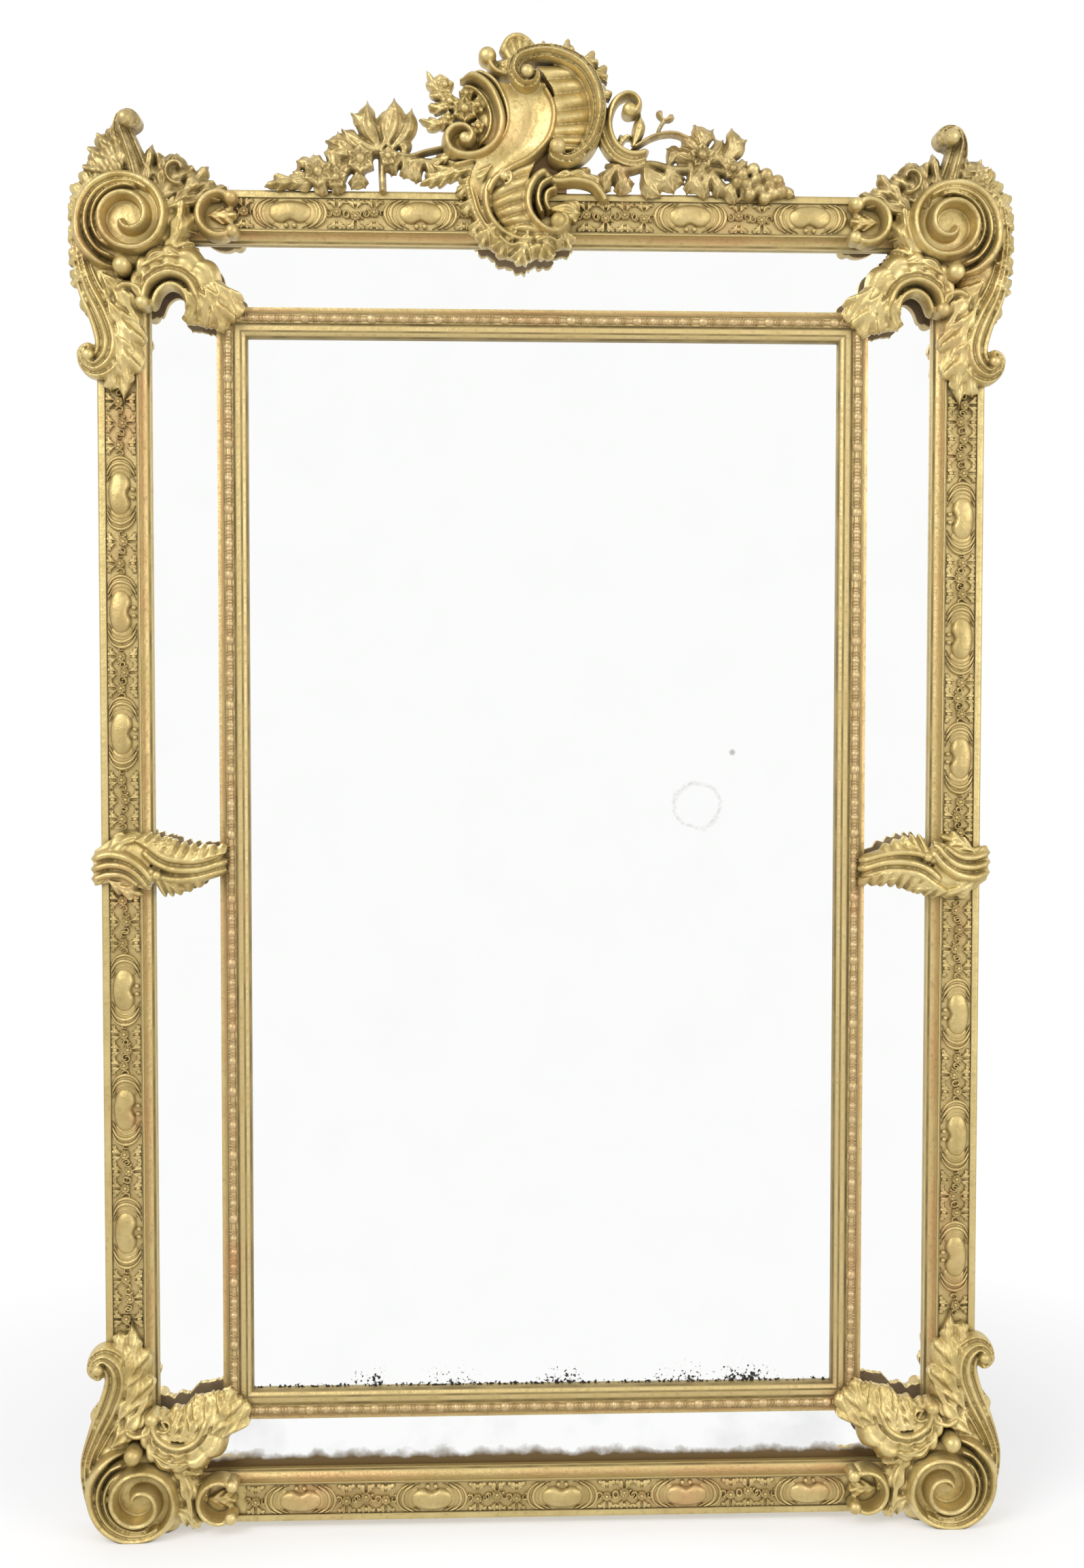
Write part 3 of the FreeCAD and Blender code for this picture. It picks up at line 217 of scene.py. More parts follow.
@dataclass(frozen=True)
class Scroll:
    """Band swept along a path.

    Attributes:
        path: Places that the band goes through.
        widths: Widths along the way, evenly spaced.
        rises: Rises along the way, evenly spaced.
        section: Shape across the band.
        base: Rise of its back.
    """

    path: Path
    widths: Values
    rises: Values
    section: Section = Section.ROUND
    base: float = BACK_RISE_SHARE

    def rings(self, seat: Seat) -> np.ndarray:
        """Rings along the path, drawn in at both ends.

        Args:
            seat: Where the stroke sits; not used.

        Returns:
            Rings of (first, second, rise) shares.
        """
        steps_for_each_span = 6
        end_share = 0.05
        tip_share = 0.15
        count = steps_for_each_span * (len(self.path) - 1) + 1
        line = smooth_path(self.path, count)
        side = side_directions(line)[1]
        share = np.linspace(0, 1, count)
        ends = np.sqrt(np.clip(np.minimum(share, 1 - share) / end_share, tip_share, 1))
        half = blend_values(self.widths, share) / 2 * ends
        across, up = np.array(self.section.value).T
        places = line[:, None] + side[:, None] * (half[:, None] * across)[..., None]
        height = (blend_values(self.rises, share) - self.base) * ends
        return tube_rings(places, self.base + height[:, None] * up, self.base)


@dataclass(frozen=True)
class Leaf:
    """Acanthus leaf along a spine, with pointed lobes, side veins and a groove down the middle.

    Attributes:
        spine: Places of the spine from the foot to the tip.
        width: Full width at the widest place.
        rises: Rises of the spine from the foot to the tip.
        lobes: Lobes on each side.
        cut: How deep the notches between the lobes go, as a share of the half width.
        sweep: How far the lobes reach forward, as a share of the half width.
        foot: Width at the foot as a share of the widest.
        drop: How far the edges lie below the spine, as a share of the rise.
        base: Rise of its back.
        thickness: Thickness of its edges where it stands free of the ground, or None to reach down to it.
    """

    spine: Path
    width: float
    rises: Values
    lobes: int = 3
    cut: float = 0.42
    sweep: float = 1.0
    foot: float = 0.4
    drop: float = 0.5
    base: float = BACK_RISE_SHARE
    thickness: float | None = None

    def rings(self, seat: Seat) -> np.ndarray:
        """Rings across the leaf from the foot to the tip.

        Args:
            seat: Where the stroke sits; not used.

        Returns:
            Rings of (first, second, rise) shares.
        """
        rows_for_each_lobe = 10
        columns = 17
        widest_power = 0.8
        point_power = 0.7
        tip_width_share = 0.005
        lobe_peak_share = 0.62
        lobe_powers = (0.8, 0.6)
        groove_width_share = 0.14
        groove_depth_share = 0.14
        edge_power = 1.6
        vein_height_share = 0.15
        vein_power = 0.8
        comb_height_share = 0.035
        comb_lines = 3
        across = np.linspace(-1, 1, columns)
        outward = np.abs(across)
        count = rows_for_each_lobe * self.lobes + 1
        share = np.linspace(0, 1, count)
        line = smooth_path(self.spine, count)
        along, side = side_directions(line)
        swell = np.sin(math.pi * share ** widest_power) ** (point_power + point_power * share)
        outline = np.maximum(swell, self.foot * (1 - share))
        phase = np.mod(self.lobes * share, 1)
        rising = np.sin(math.pi / 2 * np.minimum(phase / lobe_peak_share, 1)) ** lobe_powers[0]
        past_peak = np.clip((phase - lobe_peak_share) / (1 - lobe_peak_share), 0, 1)
        falling = np.cos(math.pi / 2 * past_peak) ** lobe_powers[1]
        notched = 1 - self.cut * (1 - rising * falling) * (share > 0)
        half = np.maximum(self.width / 2 * outline * notched, self.width * tip_width_share)
        reach = self.sweep * half[:, None] * across ** 2
        places = (
            line[:, None]
            + side[:, None] * (half[:, None] * across)[..., None]
            + along[:, None] * reach[..., None])
        groove = groove_depth_share * np.exp(-(across / groove_width_share) ** 2)
        crown = 1 - self.drop * outward ** edge_power - groove
        ripple = np.cos(2 * math.pi * (phase - lobe_peak_share))[:, None]
        vein = vein_height_share * ripple * outward ** vein_power
        lines = np.cos(2 * math.pi * comb_lines * outward)
        comb = comb_height_share * lines * np.sin(math.pi * share)[:, None]
        spine_rise = blend_values(self.rises, share) - self.base
        rise = self.base + spine_rise[:, None] * (crown + vein + comb)
        back = self.base if self.thickness is None else rise.min(axis=1) - self.thickness
        return tube_rings(places, rise, back)


@dataclass(frozen=True)
class Panel:
    """Surface between two curves, smooth or fluted.

    Attributes:
        left: Curve on one side.
        right: Curve on the other side.
        rises: Rises across it, from the left to the right.
        flutes: Flutes that run from the left to the right.
        flute_depth: Depth of the flutes.
        scallop: How far the flutes bulge past the right curve, as a share of the width.
        sink: How far it sinks towards its end, as a share of the rise.
        base: Rise of its back.
    """

    left: Path
    right: Path
    rises: Values
    flutes: int = 0
    flute_depth: float = 0.0
    scallop: float = 0.0
    sink: float = 0.0
    base: float = BACK_RISE_SHARE

    def rings(self, seat: Seat) -> np.ndarray:
        """Rings from the left curve to the right one.

        Args:
            seat: Where the stroke sits; not used.

        Returns:
            Rings of (first, second, rise) shares.
        """
        rows_for_each_flute = 8
        least_rows = 25
        columns = 13
        rim_share = 0.06
        rim_power = 0.4
        flute_power = 0.8
        count = max(least_rows, rows_for_each_flute * self.flutes + 1)
        share = np.linspace(0, 1, count)
        left = smooth_path(self.left, count)
        right = smooth_path(self.right, count)
        across = np.linspace(0, 1, columns)
        ridge = np.abs(np.sin(math.pi * self.flutes * share)) if self.flutes else np.ones(count)
        reach = across[None] * (1 + self.scallop * (ridge[:, None] - 0.5))
        places = left[:, None] + (right - left)[:, None] * reach[..., None]
        rise = blend_values(self.rises, across)
        edge = np.sin(math.pi * np.clip(across, rim_share, 1 - rim_share)) ** rim_power
        fluted = rise[None] - self.flute_depth * (1 - ridge[:, None] ** flute_power) * edge
        kept = 1 - self.sink * share[:, None] ** 3
        return tube_rings(places, self.base + (fluted - self.base) * kept, self.base)


@dataclass(frozen=True)
class Ball:
    """Round bead, bud or curled end.

    Attributes:
        centre: Middle of it.
        radius: Its radius.
        rise: Rise of its front.
        base: Rise of its back.
    """

    centre: Pair
    radius: float
    rise: float
    base: float = BACK_RISE_SHARE

    def rings(self, seat: Seat) -> np.ndarray:
        """Rings from the back to the front.

        Args:
            seat: Where the stroke sits.

        Returns:
            Rings of (first, second, rise) shares.
        """
        sides = 14
        slope_degrees = (0, 18, 36, 54, 70, 84)
        turn = np.linspace(0, 2 * math.pi, sides, endpoint=False)
        height = min(self.radius * seat.module / seat.room, self.rise - self.base)
        slope = np.radians(slope_degrees)
        radius = np.concatenate([[1.0], np.cos(slope)]) * self.radius
        rise = np.concatenate([[self.base], self.rise - height + height * np.sin(slope)])
        first = self.centre[0] + radius[:, None] * np.cos(turn)
        second = self.centre[1] + radius[:, None] * np.sin(turn)
        return np.stack([first, second, np.broadcast_to(rise[:, None], first.shape)], axis=-1)


@dataclass(frozen=True)
class Cabochon:
    """Bean-shaped boss, notched on its second side.

    Attributes:
        centre: Middle of it.
        length: Its length along the first share.
        width: Its width.
        rise: Rise of its front.
        notch: Depth of the notch as a share of the half width.
        base: Rise of its back.
    """

    centre: Pair
    length: float
    width: float
    rise: float
    notch: float = 0.4
    base: float = 0.0

    def rings(self, seat: Seat) -> np.ndarray:
        """Rings from one end to the other.

        Args:
            seat: Where the stroke sits; not used.

        Returns:
            Rings of (first, second, rise) shares.
        """
        rows = 21
        columns = 11
        notch_width_share = 0.26
        end_width_share = 0.02
        outline_power = 0.8
        dome_powers = (2.4, 0.6)
        rim_rise_share = 0.25
        end_power = 0.3
        angle = np.linspace(0, math.pi, rows)
        along = -np.cos(angle)
        full = np.maximum(np.sin(angle), end_width_share) ** outline_power
        notched = full * (1 - self.notch * np.exp(-(along / notch_width_share) ** 2))
        across = np.linspace(-1, 1, columns)
        half = np.where(across < 0, full[:, None], notched[:, None]) * self.width / 2
        second = self.centre[1] + half * across
        first = np.broadcast_to(self.centre[0] + along[:, None] * self.length / 2, second.shape)
        section = np.sqrt(np.maximum(1 - np.abs(across) ** dome_powers[0], 0))
        dome = section[None] * full[:, None] ** dome_powers[1]
        height = (rim_rise_share + (1 - rim_rise_share) * dome) * full[:, None] ** end_power
        rise = self.base + (self.rise - self.base) * height
        return tube_rings(np.stack([first, second], axis=-1), rise, self.base)


def flower(
        centre: Pair, radius: float, petals: int, rise: float,
        start_degrees: float = 90) -> tuple[Stroke, ...]:
    """Open flower.

    Args:
        centre: Middle of the flower.
        radius: Reach of its petals.
        petals: How many petals it has.
        rise: Rise of its heart.
        start_degrees: Direction of the first petal.

    Returns:
        A stroke for each petal and one for the heart.
    """
    petal_width_share = 0.85
    petal_rise_shares = (0.72, 0.86)
    heart_share = 0.34
    rises = tuple(rise * share for share in petal_rise_shares)
    strokes: list[Stroke] = []
    for index in range(petals):
        angle = math.radians(start_degrees + index * 360 / petals)
        tip = (centre[0] + radius * math.cos(angle), centre[1] + radius * math.sin(angle))
        middle = ((centre[0] + tip[0]) / 2, (centre[1] + tip[1]) / 2)
        spine = (centre, middle, tip)
        petal = Leaf(spine, radius * petal_width_share, rises, lobes=1, cut=0, sweep=0.2, foot=0.5, drop=0.3)
        strokes.append(petal)
    strokes.append(Ball(centre, radius * heart_share, rise))
    return tuple(strokes)


def spray(centre: Pair, reach: float, degrees: Values, width: float, rise: float) -> tuple[Stroke, ...]:
    """Thin pointed leaves that spring from one place.

    Args:
        centre: Where they spring from.
        reach: Length of the first; each next one is a little shorter.
        degrees: Direction of each leaf.
        width: Width of the leaves.
        rise: Rise of their feet.

    Returns:
        A stroke for each leaf.
    """
    shorter_share = 0.93
    bend_degrees = 14
    middle_share = 0.5
    rise_shares = (1, 0.95, 0.6)
    edge_thickness_share = 0.06
    rises = tuple(rise * share for share in rise_shares)
    strokes: list[Stroke] = []
    for index, direction in enumerate(degrees):
        length = reach * shorter_share ** index
        spine = [centre]
        for part, turn in ((middle_share, -bend_degrees), (1, 0)):
            angle = math.radians(direction + turn * (-1) ** index)
            away = part * length
            spine.append((centre[0] + away * math.cos(angle), centre[1] + away * math.sin(angle)))
        strokes.append(Leaf(tuple(spine), width, rises, lobes=1, cut=0.1, foot=0.3, drop=0.6,
                            thickness=edge_thickness_share))
    return tuple(strokes)


@dataclass
class Carving:
    """Mesh of one carved piece, gathered from strokes.

    Attributes:
        name: Name of the piece.
        points: Places of its corners in metres.
        faces: Corners of each face.
        merge_reach: Distance within which corners are one.
        soften_share: How far the skin is evened out.
        kept_share: Share of the skin's faces that are kept once it is melted.
        crisp_degrees: Angle from which an edge stays crisp.
    """

    name: str
    points: list[list[float]] = field(default_factory=list)
    faces: list[tuple[int, ...]] = field(default_factory=list)
    merge_reach: float = 0.02 * MM
    quick_coarseness: float = 2.5
    soften_share: float = 0.5
    kept_share: float = 0.42
    crisp_degrees: float = 50

    def add(self, strokes: tuple[Stroke, ...], seat: Seat) -> "Carving":
        """Carve strokes at a seat.

        Args:
            strokes: What to carve.
            seat: Where it sits.

        Returns:
            The carving itself.
        """
        for stroke in strokes:
            self.add_tube(seat.world(stroke.rings(seat)))
        return self

    def add_tube(self, rings: np.ndarray) -> None:
        """Add a tube that is closed at both ends.

        Args:
            rings: Rings of places in metres.
        """
        rows, columns = rings.shape[:2]
        start = len(self.points)
        self.points.extend(rings.reshape(-1, 3).tolist())
        for row in range(rows - 1):
            here = start + row * columns
            for column in range(columns):
                beside = (column + 1) % columns
                ahead = here + columns
                self.faces.append((here + column, here + beside, ahead + beside, ahead + column))
        self.faces.append(tuple(range(start, start + columns))[::-1])
        last = start + (rows - 1) * columns
        self.faces.append(tuple(range(last, last + columns)))

    def finish(self, grain: float | None = None) -> Piece:
        """Make the piece.

        Args:
            grain: Size of the net that melts the strokes into one skin, or None to keep them apart.

        Returns:
            The object, at the origin with its place in its mesh.
        """
        mesh = bpy.data.meshes.new(self.name)
        mesh.from_pydata(self.points, [], self.faces)
        piece = bpy.data.objects.new(self.name, mesh)
        bpy.context.scene.collection.objects.link(piece)
        pick(piece)
        bpy.ops.object.mode_set(mode="EDIT")
        bpy.ops.mesh.select_all(action="SELECT")
        bpy.ops.mesh.remove_doubles(threshold=self.merge_reach)
        bpy.ops.mesh.normals_make_consistent(inside=False)
        bpy.ops.object.mode_set(mode="OBJECT")
        if grain:
            self.melt(piece, grain)
        mesh = piece.data
        places = np.empty(3 * len(mesh.vertices))
        mesh.vertices.foreach_get("co", places)
        inside = np.clip(places.reshape(-1, 3), SOLID_BOX[0], SOLID_BOX[1])
        mesh.vertices.foreach_set("co", inside.ravel())
        mesh.update()
        bpy.ops.object.shade_smooth_by_angle(angle=math.radians(self.crisp_degrees))
        return piece

    def melt(self, piece: Piece, grain: float) -> None:
        """Melt a piece's strokes into one skin, soften it and thin it out.

        Args:
            piece: The piece, which is the active object.
            grain: Size of the net.
        """
        coarseness = 1
        steps = (
            ("REMESH", {"mode": "VOXEL", "voxel_size": grain * coarseness}),
            ("SMOOTH", {"factor": self.soften_share, "iterations": 1}),
            ("DECIMATE", {"ratio": self.kept_share}),
        )
        for kind, settings in steps:
            step = piece.modifiers.new(kind.lower(), kind)
            for key, value in settings.items():
                setattr(step, key, value)
            bpy.ops.object.modifier_apply(modifier=step.name)


def pick(piece: Piece) -> None:
    """Make a piece the only one that operators act on."""
    bpy.ops.object.select_all(action="DESELECT")
    piece.select_set(True)
    bpy.context.view_layer.objects.active = piece


def dress(piece: Piece, material: Material) -> None:
    """Give a piece one material all over."""
    piece.data.materials.clear()
    piece.data.materials.append(material)


def settle(piece: Piece, material: Material, slot: str, *nodes: str) -> None:
    """Dress a new piece and let it stand for solids of the frame.

    Args:
        piece: The new piece.
        material: Its finish.
        slot: The record's material slot; not used.
        nodes: The solids that it stands for.
    """
    dress(piece, material)
    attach(piece, "frame")
    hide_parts(*nodes)
    LOG.info("%s: %d faces, stands for %s", piece.name, len(piece.data.polygons), ", ".join(nodes))


def opaque(colour: Colour) -> tuple[float, float, float, float]:
    """Colour with no part of it see-through."""
    return (*colour, OPAQUE)


class Nodes:
    """Node tree, with short ways to add nodes."""

    def __init__(self, tree: bpy.types.NodeTree) -> None:
        """Take the tree to add nodes to."""
        self.tree = tree

    def set(self, target: bpy.types.Node, values: dict[Any, Any]) -> None:
        """Link or set the inputs of a node.

        Args:
            target: The node.
            values: Sockets to link or values to set, by input.
        """
        for key, value in values.items():
            if isinstance(value, Socket):
                self.tree.links.new(value, target.inputs[key])
            else:
                target.inputs[key].default_value = value

    def add(self, kind: str, values: dict[Any, Any] | None = None, **settings: Any) -> bpy.types.Node:
        """Add a node.

        Args:
            kind: Its type.
            values: Its inputs, as sockets to link or as values.
            settings: Its own settings.

        Returns:
            The node.
        """
        node = self.tree.nodes.new(kind)
        for key, value in settings.items():
            setattr(node, key, value)
        self.set(node, values or {})
        return node

    def place(self, scale: Place = (1, 1, 1)) -> Socket:
        """Place on the object, in metres times a scale."""
        source = self.add("ShaderNodeTexCoord").outputs["Object"]
        return self.add("ShaderNodeMapping", {"Vector": source, "Scale": scale}).outputs["Vector"]

    def axis(self, place: Socket, name: str) -> Socket:
        """One axis of a place, by its letter."""
        return self.add("ShaderNodeSeparateXYZ", {"Vector": place}).outputs[name]

    def noise(self, place: Socket, scale: float, detail: float) -> Socket:
        """Cloudy pattern from zero to one."""
        node = self.add("ShaderNodeTexNoise", {"Vector": place, "Scale": scale, "Detail": detail})
        return node.outputs["Fac"]

    def span(self, value: Socket, given: Pair, wanted: Pair = (0, 1)) -> Socket:
        """Value stretched from one span to another and held inside it.

        Args:
            value: The value.
            given: Its span.
            wanted: The span of the result.

        Returns:
            The stretched value.
        """
        keys = ("From Min", "From Max", "To Min", "To Max")
        node = self.add("ShaderNodeMapRange", {"Value": value, **dict(zip(keys, (*given, *wanted)))})
        return node.outputs["Result"]

    def sum(self, operation: str, first: Any, second: Any = 0.0) -> Socket:
        """Result of a sum on one or two values."""
        return self.add("ShaderNodeMath", {0: first, 1: second}, operation=operation).outputs["Value"]

    def times(self, first: Any, second: Any) -> Socket:
        """Product of two values."""
        return self.sum("MULTIPLY", first, second)

    def most(self, first: Any, second: Any) -> Socket:
        """The larger of two values."""
        return self.sum("MAXIMUM", first, second)

    def away(self, value: Any, middle: Any) -> Socket:
        """Distance of a value from a middle."""
        return self.sum("ABSOLUTE", self.sum("SUBTRACT", value, middle))

    def near(self, value: Any, middle: Any, half: float, core_share: float = 0.3) -> Socket:
        """One about a middle, fading to zero at half a width from it."""
        return self.span(self.away(value, middle), (core_share * half, half), (1, 0))

    def distance(self, place: Socket, other: Place) -> Socket:
        """Distance between two places."""
        return self.add("ShaderNodeVectorMath", {0: place, 1: other}, operation="DISTANCE").outputs["Value"]

    def mix(self, share: Socket, first: Socket | Colour, second: Socket | Colour) -> Socket:
        """Colour between two colours.

        Args:
            share: How much of the second there is.
            first: Colour at a share of zero.
            second: Colour at a share of one.

        Returns:
            The mixed colour.
        """
        colour_inputs = (6, 7)
        colour_output = 2
        values: dict[Any, Any] = {"Factor": share}
        for key, colour in zip(colour_inputs, (first, second)):
            values[key] = colour if isinstance(colour, Socket) else opaque(colour)
        return self.add("ShaderNodeMix", values, data_type="RGBA").outputs[colour_output]


class Shader(Nodes):
    """Node tree of one material."""

    def __init__(self, name: str) -> None:
        """Start a material that has its surface shader only."""
        self.material = bpy.data.materials.new(name)
        self.material.use_nodes = True
        super().__init__(self.material.node_tree)
        self.surface = self.tree.nodes["Principled BSDF"]

    def bump(self, height: Socket, strength: float, distance: float) -> None:
        """Roughen the surface with a pattern."""
        node = self.add("ShaderNodeBump", {"Height": height, "Strength": strength, "Distance": distance})
        self.set(self.surface, {"Normal": node.outputs["Normal"]})


@dataclass(frozen=True)
class GiltFinish:
    """Old gold leaf over red clay, with brown dirt and painted shade in the hollows and a painted highlight
    on convex edges.

    Attributes:
        name: Name of the material.
        pale: Colour of the brightest leaf, also painted on convex edges as a highlight.
        deep: Colour of the duller leaf.
        clay: Colour where the leaf is rubbed through.
        dirt_and_shade: Colour of the dirt and painted shade in the hollows.
        worn: How much of it is rubbed, from zero to one.
        darkening: Places in front of the wall's middle plane where the surface starts to darken towards the
            wall and is darkest, or None for none.
        hollow_shade_reach: How far a hollow's painted shade darkens what is round it.
        cloud_scale: Clouds in each metre.
        patch_scale: Rubbed patches in each metre.
        grain_scale: Grains in each metre.
        mark_scale: Tool marks in each metre.
        mark_depth: Depth of the tool marks.
        speckled: How dark the dirt lies in the tool marks.
        outline: Box of the frame that seams and rubs are measured inwards from.
        dirt_and_shade_lines: Distance and half width of each dark line of dirt and painted shade along the
            mouldings.
        rubs: Distance and half width of each line where the leaf is rubbed thin.
        back_pale: Colour of the bare wood towards the wall.
        back_dark: Colour of its stains.
    """

    name: str
    pale: Colour = (0.70, 0.56, 0.255)
    deep: Colour = (0.45, 0.335, 0.12)
    clay: Colour = (0.56, 0.30, 0.14)
    dirt_and_shade: Colour = (0.15, 0.105, 0.03)
    worn: float = 0.35
    darkening: Pair | None = None
    hollow_shade_reach: float = 7 * MM
    cloud_scale: float = 26
    patch_scale: float = 9
    grain_scale: float = 700
    mark_scale: float = 160
    mark_depth: float = 0.6 * MM
    speckled: float = 0.28
    outline: tuple[Vector, Vector] | None = None
    dirt_and_shade_lines: tuple[Pair, ...] = ()
    rubs: tuple[Pair, ...] = ()
    back_pale: Colour = (0.40, 0.30, 0.19)
    back_dark: Colour = (0.20, 0.135, 0.075)

    def material(self) -> Material:
        """Make the material.

        Returns:
            The material with its node tree.
        """
        cloud_span = (0.3, 0.7)
        dull_span = (0.32, 0.68)
        highlight_edge_span = (0.51, 0.57)
        painted_edge_share = 0.5
        behind_span = (0.55, 0.85)
        leaf_roughness = (0.46, 0.36)
        dirt_and_shade_roughness = 0.25
        bare_roughness = 0.85
        metal_shares = (0.75, 0.2)
        cloud_detail = 5
        patch_detail = 3
        grain_detail = 3
        mark_detail = 4
        mark_share = 2.5
        mark_strength = 0.5
        shader = Shader(self.name)
        place = shader.place()
        clouds = shader.noise(place, self.cloud_scale, cloud_detail)
        patches = shader.noise(place, self.patch_scale, patch_detail)
        bend = shader.add("ShaderNodeNewGeometry").outputs["Pointiness"]
        dirt_and_shade = self.dirt_and_shade_mask(shader, place, clouds, bend)
        rubbed = self.rubbed(shader, place, patches)
        leaf = shader.mix(shader.span(clouds, dull_span), self.deep, self.pale)
        # Painted highlight: pale leaf laid on convex edges, found by pointiness.
        leaf = shader.mix(shader.times(shader.span(bend, highlight_edge_span), painted_edge_share), leaf, self.pale)
        leaf = shader.mix(rubbed, leaf, self.clay)
        # Dirt and painted shade: brown laid where the hollows and creases darken, as shade and as dirt.
        colour = shader.mix(dirt_and_shade, leaf, self.dirt_and_shade)
        facing = shader.add("ShaderNodeTexCoord").outputs["Normal"]
        behind = shader.span(shader.axis(facing, "Y"), behind_span)
        bare = shader.mix(shader.span(clouds, cloud_span), self.back_dark, self.back_pale)
        gloss = shader.sum(
            "ADD", shader.span(clouds, cloud_span, leaf_roughness), shader.times(dirt_and_shade, dirt_and_shade_roughness))
        metal = shader.span(dirt_and_shade, (0, 1), metal_shares)
        shader.set(shader.surface, {
            "Base Color": shader.mix(behind, colour, bare),
            "Metallic": shader.times(metal, shader.span(behind, (0, 1), (1, 0))),
            "Roughness": shader.most(gloss, shader.times(behind, bare_roughness)),
        })
        grain = shader.noise(place, self.grain_scale, grain_detail)
        marks = shader.times(shader.noise(place, self.mark_scale, mark_detail), mark_share)
        marks = shader.sum("ADD", marks, grain)
        shader.bump(marks, mark_strength, self.mark_depth)
        return shader.material

    def dirt_and_shade_mask(self, shader: Shader, place: Socket, clouds: Socket, bend: Socket) -> Socket:
        """Dirt and painted shade in the hollows and creases, dirt in the tool marks, darker towards the wall,
        and lines of dirt and painted shade along the mouldings.

        Args:
            shader: Material to add nodes to.
            place: Place on the object.
            clouds: Cloudy pattern.
            bend: How far the surface bends outwards.

        Returns:
            How much dirt and painted shade there is, from zero to one.
        """
        hollow_shade_span = (0.86, 0.28)
        crease_span = (0.495, 0.42)
        crease_share = 0.7
        patchy_span = (0.2, 0.6)
        patchy_shares = (0.75, 1)
        speck_detail = 6
        speck_span = (0.52, 0.7)
        wall_darkening_share = 0.3
        seam_span = (0.3, 0.6)
        seam_shares = (0.45, 0.95)
        shut_samples = 8
        # Painted shade: ambient occlusion darkens the hollows and pointiness the creases, together with the
        # dirt in them.
        shut = shader.add("ShaderNodeAmbientOcclusion", {"Distance": self.hollow_shade_reach}, samples=shut_samples)
        hollow_shade = shader.span(shut.outputs["AO"], hollow_shade_span)
        dirt_and_shade = shader.most(hollow_shade, shader.times(shader.span(bend, crease_span), crease_share))
        dirt_and_shade = shader.times(dirt_and_shade, shader.span(clouds, patchy_span, patchy_shares))
        specks = shader.noise(place, self.mark_scale, speck_detail)
        dirt_and_shade = shader.most(dirt_and_shade, shader.span(specks, speck_span, (0, self.speckled)))
        # Darker the further back towards the wall the surface lies.
        if self.darkening:
            towards_wall = shader.axis(place, "Y")
            dirt_and_shade = shader.most(dirt_and_shade, shader.span(towards_wall, self.darkening, (0, wall_darkening_share)))
        if self.outline:
            inward = self.inward(shader, place)
            uneven = shader.span(clouds, seam_span, seam_shares)
            # Dark lines of dirt and painted shade along the mouldings.
            for at, half in self.dirt_and_shade_lines:
                dirt_and_shade = shader.most(dirt_and_shade, shader.times(shader.near(inward, at, half), uneven))
        return dirt_and_shade

    def rubbed(self, shader: Shader, place: Socket, patches: Socket) -> Socket:
        """Patches and lines where the leaf is rubbed thin.

        Args:
            shader: Material to add nodes to.
            place: Place on the object.
            patches: Cloudy pattern.

        Returns:
            How much of the leaf is gone, from zero to one.
        """
        patch_span = (0.55, 0.75)
        line_span = (0.35, 0.65)
        line_shares = (0.1, 0.6)
        rubbed = shader.times(shader.span(patches, patch_span), self.worn)
        if self.outline:
            inward = self.inward(shader, place)
            uneven = shader.span(patches, line_span, line_shares)
            for at, half in self.rubs:
                rubbed = shader.most(rubbed, shader.times(shader.near(inward, at, half), uneven))
        return rubbed

    def inward(self, shader: Shader, place: Socket) -> Socket:
        """Distance inwards from the frame's outline.

        Args:
            shader: Material to add nodes to.
            place: Place on the object.

        Returns:
            The distance in metres.
        """
        gaps = []
        for axis, name in ((0, "X"), (2, "Z")):
            middle = (self.outline[0][axis] + self.outline[1][axis]) / 2
            half = (self.outline[1][axis] - self.outline[0][axis]) / 2
            gaps.append(shader.sum("SUBTRACT", half, shader.away(shader.axis(place, name), middle)))
        return shader.sum("MINIMUM", *gaps)


